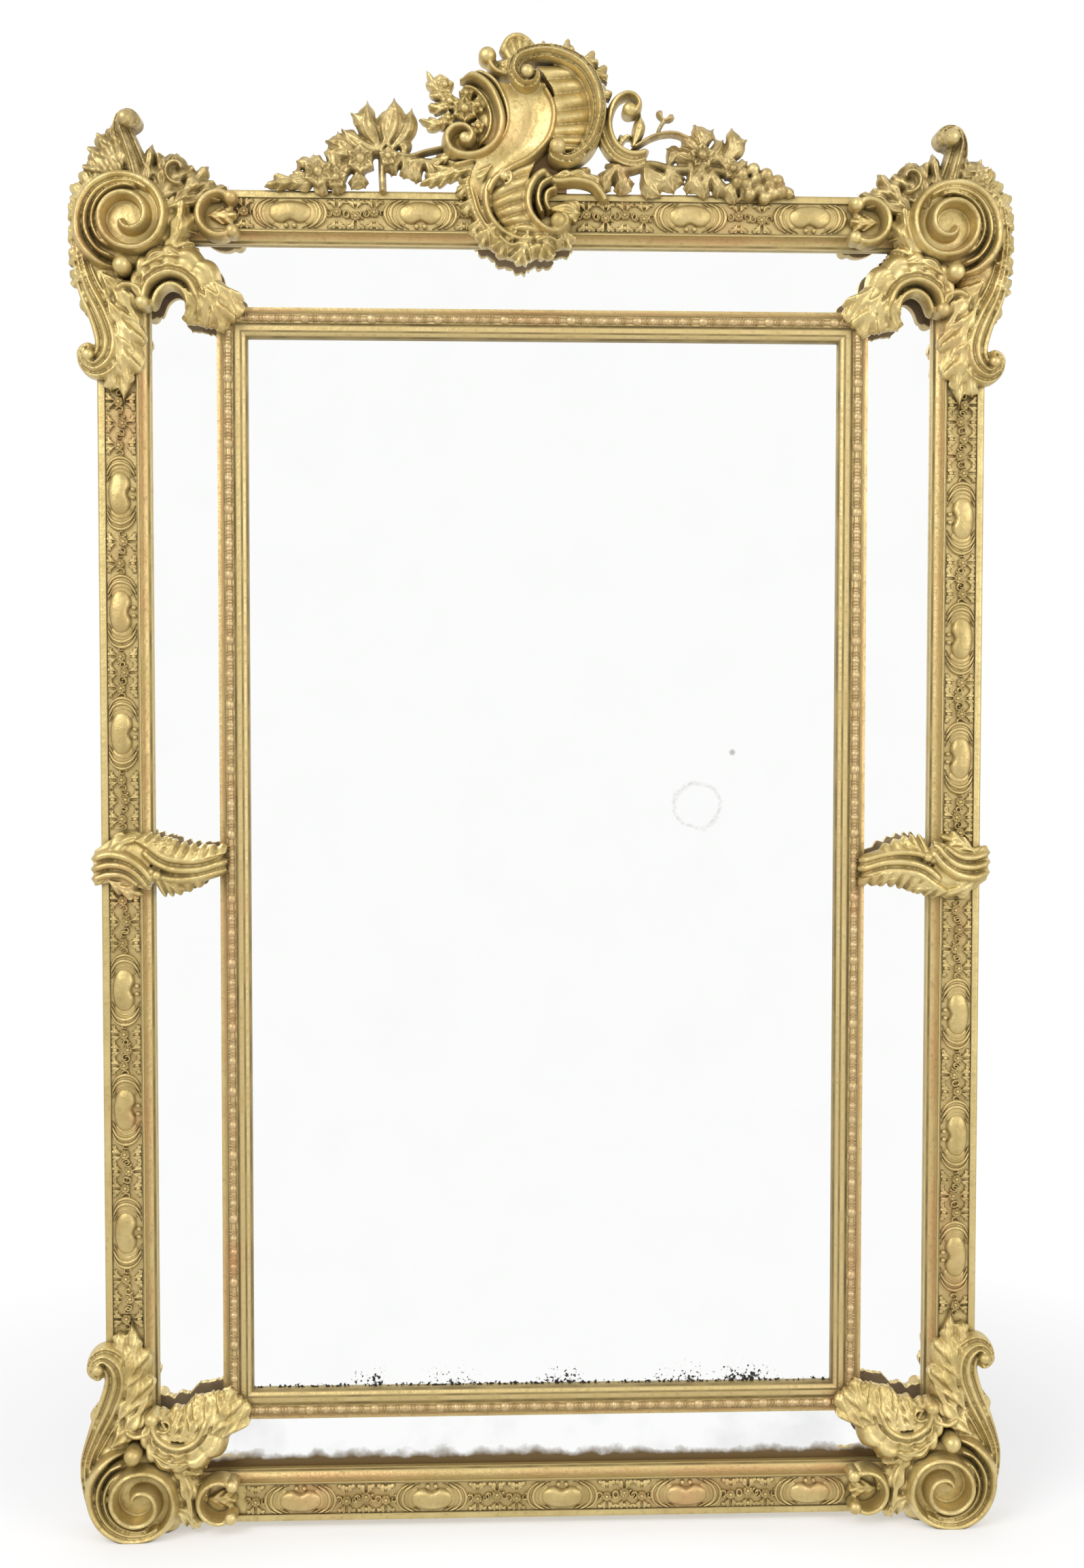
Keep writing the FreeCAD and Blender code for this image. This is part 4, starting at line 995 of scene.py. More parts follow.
@dataclass(frozen=True)
class PineFinish:
    """Bare old softwood with its grain along the boards, which lie across the back one above the other.

    Attributes:
        name: Name of the material.
        low: Height of the lowest board's lower edge.
        step: Height of a board.
        pale: Colour of the soft grain.
        dark: Colour of the hard grain and of the stains.
        darkening: Colour of the seams.
        seam_share: Half width of a dark seam as a share of the board.
        grain_stretch: Scale of the grain along each axis.
        ring_stretch: Scale of the broad growth rings along each axis.
        grain_depth: Depth of the grain.
    """

    name: str
    low: float
    step: float
    pale: Colour = (0.40, 0.265, 0.14)
    dark: Colour = (0.17, 0.098, 0.048)
    darkening: Colour = (0.03, 0.02, 0.012)
    seam_share: float = 0.012
    grain_stretch: Place = (2.2, 60, 60)
    ring_stretch: Place = (0.8, 9, 9)
    grain_depth: float = 1 * MM

    def material(self) -> Material:
        """Make the material.

        Returns:
            The material with its node tree.
        """
        middle_share = 0.5
        grain_share = 0.6
        tone_span = (-0.09, 0.09)
        soft_span = (0.36, 0.64)
        stain_span = (0.5, 0.8)
        stain_share = 0.6
        seam_darkness = 0.85
        grain_roughness = (0.6, 0.85)
        grain_strength = 0.35
        grain_noise = (3, 8)
        ring_noise = (6, 4)
        stain_noise = (5, 5)
        shader = Shader(self.name)
        height = shader.axis(shader.place(), "Z")
        boards = shader.sum("DIVIDE", shader.sum("SUBTRACT", height, self.low), self.step)
        board = shader.sum("FLOOR", boards)
        tone = shader.add("ShaderNodeTexWhiteNoise", {"W": board}, noise_dimensions="1D").outputs["Value"]
        grain = shader.noise(shader.place(self.grain_stretch), *grain_noise)
        rings = shader.noise(shader.place(self.ring_stretch), *ring_noise)
        stain = shader.noise(shader.place(), *stain_noise)
        mixed = shader.sum("ADD", shader.times(grain, grain_share), shader.times(rings, 1 - grain_share))
        mixed = shader.sum("ADD", mixed, shader.span(tone, (0, 1), tone_span))
        colour = shader.mix(shader.span(mixed, soft_span), self.dark, self.pale)
        colour = shader.mix(shader.span(stain, stain_span, (0, stain_share)), colour, self.dark)
        off_middle = shader.away(shader.sum("FRACT", boards), middle_share)
        seam_span = (middle_share - 2 * self.seam_share, middle_share - self.seam_share / 2)
        colour = shader.mix(shader.span(off_middle, seam_span, (0, seam_darkness)), colour, self.darkening)
        roughness = shader.span(grain, (0, 1), grain_roughness)
        shader.set(shader.surface, {"Base Color": colour, "Roughness": roughness})
        shader.bump(grain, grain_strength, self.grain_depth)
        return shader.material


@dataclass(frozen=True)
class IronFinish:
    """Dark iron with a bloom of rust.

    Attributes:
        name: Name of the material.
        bare: Colour of the iron.
        rust: Colour of the rust.
        bloom_scale: Blooms in each metre.
        bloom_depth: Depth of the blooms.
    """

    name: str = "dark_iron"
    bare: Colour = (0.06, 0.055, 0.05)
    rust: Colour = (0.14, 0.055, 0.02)
    bloom_scale: float = 90
    bloom_depth: float = 0.5 * MM

    def material(self) -> Material:
        """Make the material.

        Returns:
            The material with its node tree.
        """
        rust_span = (0.48, 0.68)
        metal_shares = (0.85, 0.1)
        roughness = (0.42, 0.85)
        bloom_detail = 6
        bloom_strength = 0.3
        shader = Shader(self.name)
        bloom = shader.noise(shader.place(), self.bloom_scale, bloom_detail)
        rusty = shader.span(bloom, rust_span)
        shader.set(shader.surface, {
            "Base Color": shader.mix(rusty, self.bare, self.rust),
            "Metallic": shader.span(rusty, (0, 1), metal_shares),
            "Roughness": shader.span(rusty, (0, 1), roughness),
        })
        shader.bump(bloom, bloom_strength, self.bloom_depth)
        return shader.material


@dataclass(frozen=True)
class MirrorFinish:
    """Old silvered glass, with its silver lost in spots along its lower edge and a painted shadow, drawn as
    spots, right at that edge.

    Attributes:
        name: Name of the material.
        edge: Height of the plate's lower edge.
        clusters: Middle and half width, across the plate, of each cluster of spots.
        reach: How far the spots climb from the edge.
        band: Height of a brown band along the edge, or zero for none.
        silver: Colour of what it mirrors.
        lost_silver_and_shadow: Colour where the silver is gone, and of the painted shadow along the lower
            edge.
        stain: Colour of the brown band.
        haze: Share of the light that hazy patches take.
        ring: Middle (across, up) and radius of a ring-shaped stain, or None for none.
        spot: Middle (across, up) and radius of a round spot above the ring.
        smooth: Roughness of clear glass.
        shadow_line: Heights over the edge between which the painted shadow along it ends.
    """

    name: str
    edge: float
    clusters: tuple[Pair, ...] = ()
    reach: float = 34 * MM
    band: float = 0.0
    silver: Colour = (0.965, 0.975, 0.965)
    lost_silver_and_shadow: Colour = (0.05, 0.045, 0.04)
    stain: Colour = (0.17, 0.115, 0.055)
    haze: float = 0.012
    ring: Place | None = None
    spot: Place = (0.240, 0.988, 5 * MM)
    smooth: float = 0.015
    shadow_line: Pair = (2 * MM, 6 * MM)

    def material(self) -> Material:
        """Make the material.

        Returns:
            The material with its node tree.
        """
        patch_span = (0.45, 0.7)
        lost_roughness = 0.6
        stain_roughness = 0.5
        speck_noise = (260, 5)
        ripple_noise = (38, 4)
        patch_noise = (14, 4)
        shader = Shader(self.name)
        place = shader.place()
        specks = shader.noise(place, *speck_noise)
        ripple = shader.noise(place, *ripple_noise)
        patches = shader.span(shader.noise(place, *patch_noise), patch_span)
        dull = tuple(part * (1 - self.haze) for part in self.silver)
        colour = shader.mix(patches, self.silver, dull)
        rough = shader.span(patches, (0, 1), (self.smooth, self.smooth + self.haze))
        if self.clusters:
            # Lost silver in the clusters, and a painted shadow along the lower edge.
            spots_and_shadow = self.spots_and_shadow(shader, place, specks, ripple)
            colour = shader.mix(spots_and_shadow, colour, self.lost_silver_and_shadow)
            rough = shader.most(rough, shader.times(spots_and_shadow, lost_roughness))
        if self.band:
            brown = self.brown(shader, place, ripple)
            colour = shader.mix(brown, colour, self.stain)
            rough = shader.most(rough, shader.times(brown, stain_roughness))
        if self.ring:
            for mark in self.marks(shader, place, specks, ripple):
                colour = shader.mix(mark, colour, self.stain)
        shader.set(shader.surface, {"Base Color": colour, "Metallic": 1.0, "Roughness": rough})
        return shader.material

    def spots_and_shadow(self, shader: Shader, place: Socket, specks: Socket, ripple: Socket) -> Socket:
        """Spots of lost silver, thickest in the clusters, and a painted shadow of spots along the very edge.

        Args:
            shader: Material to add nodes to.
            place: Place on the plate.
            specks: Fine pattern.
            ripple: Broader pattern.

        Returns:
            One where the silver is lost or the shadow is painted, and zero elsewhere.
        """
        climb_power = 1.6
        painted_edge_share = 0.7
        crowding = 0.26
        speck_span = (0.66, 0.72)
        bare_span = (0, 0.15)
        thin_span = (0.36, 0.6)
        thin_shares = (0.35, 1.1)
        across = shader.axis(place, "X")
        up = shader.axis(place, "Z")
        crowd = 0.0
        for middle, half in self.clusters:
            crowd = shader.most(crowd, shader.near(across, middle, half))
        low = shader.span(up, (self.edge, self.edge + self.reach), (1, 0))
        crowd = shader.times(crowd, shader.sum("POWER", low, climb_power))
        crowd = shader.times(crowd, shader.span(ripple, thin_span, thin_shares))
        # Painted shadow: a band of spots crowded along the very lower edge.
        shadow_span = tuple(self.edge + height for height in self.shadow_line)
        crowd = shader.most(crowd, shader.span(up, shadow_span, (painted_edge_share, 0)))
        spots_and_shadow = shader.span(shader.sum("ADD", specks, shader.times(crowd, crowding)), speck_span)
        return shader.times(spots_and_shadow, shader.span(crowd, bare_span))

    def brown(self, shader: Shader, place: Socket, ripple: Socket) -> Socket:
        """Wavy brown band along the lower edge.

        Args:
            shader: Material to add nodes to.
            place: Place on the plate.
            ripple: Pattern of its waves.

        Returns:
            How brown it is, from zero to one.
        """
        ripple_span = (0.3, 0.7)
        wave_shares = (0.5, 1.2)
        fade_span = (1.5, 0.7)
        wave = shader.span(ripple, ripple_span, tuple(share * self.band for share in wave_shares))
        height = shader.sum("SUBTRACT", shader.axis(place, "Z"), self.edge)
        return shader.span(shader.sum("DIVIDE", height, wave), fade_span)

    def marks(self, shader: Shader, place: Socket, specks: Socket, ripple: Socket) -> tuple[Socket, Socket]:
        """Ring-shaped stain, and the round spot above it.

        Args:
            shader: Material to add nodes to.
            place: Place on the plate.
            specks: Fine pattern.
            ripple: Broader pattern.

        Returns:
            How dark each of them is, from zero to one.
        """
        ripple_span = (0.3, 0.7)
        speck_span = (0.4, 0.6)
        wobble_share = 0.12
        line_share = 0.13
        line_darkness = (0.06, 0.26)
        spot_core_share = 0.4
        spot_darkness = 0.5
        on_plate = (1, 0, 1)
        flattened = shader.add("ShaderNodeVectorMath", {0: place, 1: on_plate}, operation="MULTIPLY")
        flat = flattened.outputs["Vector"]
        across, up, radius = self.ring
        wobble = wobble_share * radius
        away = shader.distance(flat, (across, 0, up))
        away = shader.sum("ADD", away, shader.span(ripple, ripple_span, (-wobble, wobble)))
        line = shader.near(away, radius, line_share * radius, core_share=0)
        line = shader.times(line, shader.span(specks, speck_span, line_darkness))
        across, up, radius = self.spot
        away = shader.distance(flat, (across, 0, up))
        spot = shader.span(away, (spot_core_share * radius, radius), (spot_darkness, 0))
        return line, spot


@dataclass(kw_only=True)
class Ornament:
    """Carved ornament on the front of the frame, with its places in shares of a module.

    Attributes:
        finish: Its gilding.
        dusty_and_shaded_finish: Darker gilding of its dustier pieces, with painted shade that tones down the
            light high on the frame, or None where it has none.
        module: Metres for a share of one across the front.
        floor: Depth from the wall plane where the rise is zero.
        room: Metres for a rise of one.
        grain: Size of the net that melts its strokes into one skin.
    """

    finish: Material
    dusty_and_shaded_finish: Material | None = None
    module: float = 100 * MM
    floor: float = 40 * MM
    room: float = 60 * MM
    grain: float = 1.15 * MM

    def seat_at(self, origin: Pair, first: Pair, second: Pair) -> Seat:
        """Seat that has the ornament's scale."""
        return Seat(origin, first, second, self.module, self.floor, self.room)

    def dress(self, piece: Piece, node: str) -> None:
        """Give a carved piece its gilding and let it stand for a solid.

        Args:
            piece: The piece.
            node: The solid.
        """
        # Finials and garlands get the darker gilding: dust, and painted shade that tones down the light at
        # the top.
        dusty_and_shaded_words = ("finial", "garland")
        dusty_and_shaded = any(word in node for word in dusty_and_shaded_words)
        settle(piece, self.dusty_and_shaded_finish if dusty_and_shaded else self.finish, "gilt_composition", node)


@dataclass
class CornerOrnament(Ornament):
    """Volute with its leaf down the stile, a bridge shell, a rail clasp and, at the top, a finial.

    Places are shares of the module: inward from the frame's side, then away from its top or foot.

    Attributes:
        name: Name of the corner.
        side: Minus one on the left, one on the right.
        level: One at the top, minus one at the foot.
        centre_shares: Eye of each corner's coil.
        bed_shares: Swellings under the leaf that sweeps round the coil.
        around_shares: Start of that leaf, by level.
        sweep_shares: Rest of it, down the stile to a curl.
        coil_shares: Each rib of the coil: distances from the eye, start and turn in degrees, widths, rises.
        bud_shares: Place from the eye, radius and rise of the bud at the coil's outer end.
        stile_shares: Bud of the curl, and the leaves on the stile and beside the coil.
        plume_shares: Foot and tip of each leaf along the outside of a top volute.
        tip_shares: Tips of the leaves behind each finial's stem.
        stem_shares: Stem of each finial, up to its curled tip.
        finial_shares: Leaves and a curl beside the stem.
        arch_shares: Arched scroll under the shell.
        inner_shares: Smaller scroll inside the arch.
        outer_shares: Outer edge of the shell.
        shell_shares: Fluted shell that bridges the border.
        ruffle_shares: Ruffle that closes the arch of a lower shell.
        clasp_shares: Middle of the clasp on the rail, by level.
    """

    name: str
    side: int
    level: int
    centre_shares: dict[str, Pair] = field(default_factory=lambda: {
        "top_left": (0.46, 0.44),
        "top_right": (0.56, 0.42),
        "bottom_left": (0.47, 0.44),
        "bottom_right": (0.46, 0.44),
    })
    bed_shares: tuple[Stroke, ...] = (
        Ball((0.16, 1.12), 0.24, 0.26),
        Ball((0.03, 0.94), 0.20, 0.26),
    )
    around_shares: dict[int, Path] = field(default_factory=lambda: {
        1: (
            (0.96, 0.40), (0.84, 0.07), (0.47, -0.09), (0.14, -0.04), (-0.09, 0.12), (-0.17, 0.46),
            (-0.15, 0.86)),
        -1: (
            (0.94, 0.40), (0.80, 0.10), (0.48, 0.02), (0.18, 0.01), (-0.06, 0.16), (-0.18, 0.50),
            (-0.19, 0.88)),
    })
    sweep_shares: Path = (
        (-0.06, 1.22), (0.10, 1.55), (0.20, 1.85), (0.17, 2.08), (0.03, 2.21), (-0.10, 2.16), (-0.14, 2.04),
        (-0.06, 1.97), (0.02, 2.04))
    coil_shares: tuple[tuple[Values, Pair, Values, Values], ...] = (
        ((0.60, 0.67, 0.62, 0.58, 0.51, 0.45, 0.40, 0.38, 0.36, 0.35, 0.34, 0.31, 0.27, 0.23, 0.20, 0.17,
          0.14, 0.10, 0.06), (98, 810),
         (0.14, 0.16, 0.17, 0.15, 0.15, 0.15, 0.15, 0.14, 0.13, 0.12),
         (0.72, 0.64, 0.60, 0.64, 0.72, 0.78, 0.80, 0.84, 0.84, 0.78)),
        ((0.50, 0.55, 0.53, 0.50, 0.45, 0.42), (108, 200), (0.08, 0.11, 0.11, 0.09),
         (0.54, 0.58, 0.58, 0.54)),
        ((0.41, 0.45, 0.44, 0.42, 0.39), (118, 170), (0.07, 0.10, 0.10, 0.07), (0.52, 0.56, 0.56, 0.54)),
    )
    bud_shares: tuple[float, float, float, float] = (-0.08, 0.58, 0.11, 0.80)
    stile_shares: tuple[Stroke, ...] = (
        Ball((-0.05, 2.08), 0.07, 0.56),
        Leaf(((0.16, 1.12), (0.26, 1.50), (0.34, 2.00), (0.34, 2.64)), 0.60, (0.32, 0.30, 0.24, 0.12),
             lobes=4, cut=0.34, foot=0.6),
        Leaf(((0.10, 1.08), (0.34, 1.34), (0.58, 1.74)), 0.40, (0.46, 0.42, 0.20)),
        Leaf(((0.18, 1.40), (0.36, 1.76), (0.50, 2.16)), 0.38, (0.46, 0.40, 0.18)),
        Leaf(((0.22, 1.74), (0.34, 2.08), (0.40, 2.46)), 0.38, (0.44, 0.36, 0.16)),
        Leaf(((0.18, 2.00), (0.20, 2.26), (0.18, 2.50)), 0.28, (0.40, 0.30, 0.14), lobes=2),
        Leaf(((-0.08, 1.16), (-0.10, 1.38), (-0.11, 1.58)), 0.16, (0.40, 0.22), lobes=1),
        Scroll(((0.26, 1.30), (0.40, 1.22), (0.56, 1.27), (0.60, 1.40), (0.52, 1.48)), (0.12, 0.15, 0.11),
               (0.46, 0.54)),
        Leaf(((0.86, 0.92), (1.02, 0.55), (1.10, 0.06)), 0.38, (0.36, 0.42, 0.30)),
        Leaf(((0.88, 0.70), (1.08, 0.78), (1.28, 0.84)), 0.30, (0.38, 0.20), lobes=2),
        Leaf(((0.90, 0.50), (1.10, 0.44), (1.30, 0.40)), 0.34, (0.36, 0.20), lobes=2),
        Leaf(((0.86, 0.30), (1.04, 0.16), (1.18, -0.02)), 0.30, (0.38, 0.24), lobes=2),
    )
    plume_shares: tuple[Path, ...] = (
        ((-0.04, 1.10), (-0.22, 1.02)), ((-0.06, 0.86), (-0.285, 0.76)), ((-0.10, 0.62), (-0.285, 0.48)),
        ((-0.08, 0.36), (-0.285, 0.20)), ((0.00, 0.16), (-0.22, -0.04)), ((0.12, 0.06), (-0.12, -0.20)),
        ((0.24, 0.02), (-0.03, -0.36)))
    tip_shares: dict[str, Path] = field(default_factory=lambda: {
        "top_left": ((-0.03, -0.42), (0.07, -0.63), (0.23, -0.72)),
        "top_right": ((-0.10, -0.16), (0.01, -0.26), (0.24, -0.38)),
    })
    stem_shares: dict[str, Path] = field(default_factory=lambda: {
        "top_left": ((0.58, 0.12), (0.51, -0.20), (0.43, -0.46), (0.37, -0.64), (0.37, -0.77), (0.46, -0.83),
                     (0.54, -0.76), (0.49, -0.70), (0.44, -0.74)),
        "top_right": ((0.56, 0.12), (0.50, -0.15), (0.44, -0.40), (0.41, -0.58), (0.45, -0.72), (0.56, -0.76),
                      (0.65, -0.69), (0.61, -0.61), (0.55, -0.64)),
    })
    finial_shares: tuple[Stroke, ...] = (
        Leaf(((0.64, 0.10), (0.68, -0.20), (0.72, -0.52)), 0.22, (0.40, 0.42, 0.26), lobes=2),
        Leaf(((0.78, 0.26), (0.92, -0.06), (1.04, -0.40)), 0.50, (0.40, 0.46, 0.34), cut=0.25),
        Leaf(((0.84, 0.12), (0.86, -0.14), (0.87, -0.36)), 0.26, (0.44, 0.48, 0.3), lobes=2),
        Scroll(spiral((1.04, -0.16), (0.17, 0.12, 0.05), 60, 300), (0.10, 0.07), (0.50, 0.56)),
        Leaf(((0.98, 0.24), (1.20, 0.00), (1.40, -0.26)), 0.32, (0.36, 0.40, 0.24)),
        Leaf(((1.08, 0.24), (1.36, 0.10), (1.64, -0.02)), 0.28, (0.30, 0.30, 0.18)),
    )
    arch_shares: Path = ((0.60, 1.46), (0.68, 1.20), (0.92, 1.07), (1.16, 1.16), (1.30, 1.44))
    inner_shares: Path = ((0.70, 1.50), (0.79, 1.29), (0.94, 1.20), (1.10, 1.28), (1.18, 1.50))
    outer_shares: Path = ((0.42, 1.20), (0.58, 0.84), (0.94, 0.70), (1.42, 0.90), (1.75, 1.48))
    shell_shares: tuple[Stroke, ...] = (
        Panel(arch_shares, outer_shares, (0.36, 0.38, 0.48, 0.44, 0.44, 0.50, 0.48, 0.38, 0.16), flutes=7,
              flute_depth=0.07, scallop=0.14, sink=0.4),
        Scroll(arch_shares, (0.13, 0.12), (0.56, 0.46)),
        Scroll(inner_shares, (0.12, 0.11), (0.40, 0.36)),
        Ball((0.61, 1.44), 0.09, 0.58),
        Leaf(((1.12, 1.26), (1.20, 1.46), (1.12, 1.68)), 0.30, (0.42, 0.34, 0.12), lobes=2, cut=0.3),
        Leaf(((1.24, 1.26), (1.36, 1.48), (1.35, 1.72)), 0.34, (0.44, 0.36, 0.12), lobes=2, cut=0.3),
        Leaf(((1.36, 1.24), (1.50, 1.48), (1.57, 1.78)), 0.36, (0.44, 0.36, 0.12), cut=0.3),
        Leaf(((1.48, 1.18), (1.64, 1.36), (1.77, 1.60)), 0.32, (0.42, 0.32, 0.12), lobes=2, cut=0.3),
        Leaf(((0.60, 1.02), (0.84, 0.86), (1.10, 0.88)), 0.22, (0.54, 0.56, 0.44), lobes=2, cut=0.3),
    )
    ruffle_shares: tuple[Stroke, ...] = (
        Panel(((0.66, 1.20), (0.84, 1.16), (0.98, 1.14), (1.14, 1.18), (1.30, 1.24)), ((0.62, 1.46),
               (0.84, 1.50), (1.06, 1.54), (1.26, 1.56), (1.44, 1.60)), (0.40, 0.36, 0.28, 0.14), flutes=5,
              flute_depth=0.06, scallop=0.25),
        Leaf(((0.86, 1.20), (0.90, 1.36), (0.98, 1.54)), 0.26, (0.44, 0.40, 0.20), lobes=2),
        Leaf(((1.08, 1.20), (1.14, 1.38), (1.18, 1.60)), 0.28, (0.44, 0.40, 0.20), lobes=2),
        Scroll(spiral((0.76, 1.36), (0.10, 0.05), 200, 300), (0.08, 0.06), (0.44, 0.48)),
    )
    clasp_shares: dict[int, Pair] = field(default_factory=lambda: {1: (1.54, 0.33), -1: (1.44, 0.33)})

    def seat(self) -> Seat:
        """Seat of the corner, read from the stile.

        Returns:
            The seat, with its origin on the frame's corner.
        """
        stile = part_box("stile_right")
        edge = stile[1].z if self.level > 0 else stile[0].z
        return self.seat_at((self.side * stile[1].x, edge), (-self.side, 0), (0, -self.level))

    def volute(self) -> tuple[Stroke, ...]:
        """Coiled scroll, and the long leaf that sweeps round it and down the stile to a curl.

        Returns:
            The strokes.
        """
        eye_shares = (0.66, 0.44)
        width_shares = (0.10, 0.14, 0.18, 0.20, 0.20, 0.24, 0.36, 0.42, 0.40, 0.28, 0.16, 0.11, 0.09)
        rise_shares = (0.36, 0.40, 0.42, 0.42, 0.42, 0.44, 0.46, 0.46, 0.50, 0.54)
        centre = self.centre_shares[self.name]
        sweep = self.around_shares[self.level] + self.sweep_shares
        inward, away, radius, rise = self.bud_shares
        return (
            Ball(centre, *eye_shares),
            *self.bed_shares,
            Scroll(sweep, width_shares, rise_shares, Section.FLUTED),
            *(Scroll(spiral(centre, radii, *degrees), widths, rises)
              for radii, degrees, widths, rises in self.coil_shares),
            Ball((centre[0] + inward, centre[1] + away), radius, rise),
            *self.stile_shares,
        )

    def plume(self) -> tuple[Stroke, ...]:
        """Leaf tips along the outside of a top volute.

        Returns:
            A stroke for each leaf.
        """
        bend_share = 0.04
        width_share = 0.26
        rise_shares = (0.44, 0.40, 0.2)
        strokes: list[Stroke] = []
        for foot, tip in self.plume_shares:
            middle = ((foot[0] + tip[0]) / 2 - bend_share, (foot[1] + tip[1]) / 2 + bend_share)
            strokes.append(Leaf((foot, middle, tip), width_share, rise_shares, lobes=2))
        return tuple(strokes)

    def finial(self) -> tuple[Stroke, ...]:
        """Upright stem with a curled tip, and the smaller leaves beside it.

        Returns:
            The strokes.
        """
        foot_shares = ((0.38, 0.10), (0.38, -0.02), (0.38, -0.16))
        leaf_width_share = 0.44
        leaf_rise_shares = (0.42, 0.46, 0.30)
        stem_width_shares = (0.40, 0.36, 0.29, 0.25, 0.22, 0.16, 0.13, 0.11, 0.10)
        stem_rise_shares = (0.46, 0.50, 0.54, 0.66, 0.76)
        rib_width_shares = (0.09, 0.08, 0.07, 0.06)
        rib_rise_shares = (0.52, 0.58, 0.64, 0.76)
        bud_shares = (0.10, 0.80)
        curl_places = 3
        swelling_shares = ((0.20, -0.24), 0.20, 0.36)
        stem = self.stem_shares[self.name]
        strokes: list[Stroke] = []
        for foot, tip in zip(foot_shares, self.tip_shares[self.name]):
            middle = ((foot[0] + tip[0]) / 2, (foot[1] + tip[1]) / 2)
            strokes.append(Leaf((foot, middle, tip), leaf_width_share, leaf_rise_shares))
        return (
            *strokes,
            Ball(*swelling_shares),
            Scroll(stem, stem_width_shares, stem_rise_shares, Section.FLUTED),
            Scroll(stem[:-curl_places], rib_width_shares, rib_rise_shares),
            Ball(stem[-1], *bud_shares),
            *self.finial_shares,
        )

    def clasp(self) -> tuple[Stroke, ...]:
        """C round a point of the rail, open towards the middle.

        Returns:
            The strokes.
        """
        radius_shares = (0.28, 0.24)
        start_degrees = 60
        turn_degrees = 240
        width_shares = (0.13, 0.12)
        rise_shares = (0.44, 0.44)
        bud_shares = (0.085, 0.46)
        bud_shift_share = 0.02
        leaf_reach_shares = (-0.16, 0.02, 0.22)
        leaf_width_share = 0.26
        leaf_rise_shares = (0.10, 0.20)
        centre = self.clasp_shares[self.level]
        path = spiral(centre, radius_shares, start_degrees, turn_degrees)
        buds = ((path[0], -bud_shift_share), (path[-1], bud_shift_share))
        spine = tuple((centre[0] + reach, centre[1]) for reach in leaf_reach_shares)
        return (
            Scroll(path, width_shares, rise_shares),
            *(Ball((first + bud_shift_share, second + shift), *bud_shares)
              for (first, second), shift in buds),
            Leaf(spine, leaf_width_share, leaf_rise_shares),
        )

    def build(self) -> None:
        """Carve and dress the corner's pieces."""
        seat = self.seat()
        top = self.level > 0
        parts = {
            "corner_volute_": self.volute() + (self.plume() if top else ()),
            "corner_shell_": self.shell_shares + (() if top else self.ruffle_shares),
            "rail_clasp_": self.clasp(),
        }
        if top:
            parts["corner_finial_"] = self.finial()
        for prefix, strokes in parts.items():
            node = prefix + self.name
            carving = Carving("carved_" + node).add(strokes, seat)
            if prefix == "corner_volute_" and not top:
                self.add_foot(carving, seat)
            self.dress(carving.finish(self.grain), node)

    def add_foot(self, carving: Carving, seat: Seat) -> None:
        """Flat foot under a lower volute, from the wall plane to the front of its scroll.

        Args:
            carving: The volute.
            seat: Its seat.
        """
        start_share = 0.38
        end_share = 0.64
        top_share = 0.04
        front_share = 0.40
        low = -seat.origin[1] / seat.module
        back = -seat.floor / seat.room
        corners = ((start_share, low), (end_share, low), (end_share, top_share), (start_share, top_share))
        rings = [[(*corner, rise) for corner in corners] for rise in (back, front_share)]
        carving.add_tube(seat.world(np.array(rings)))


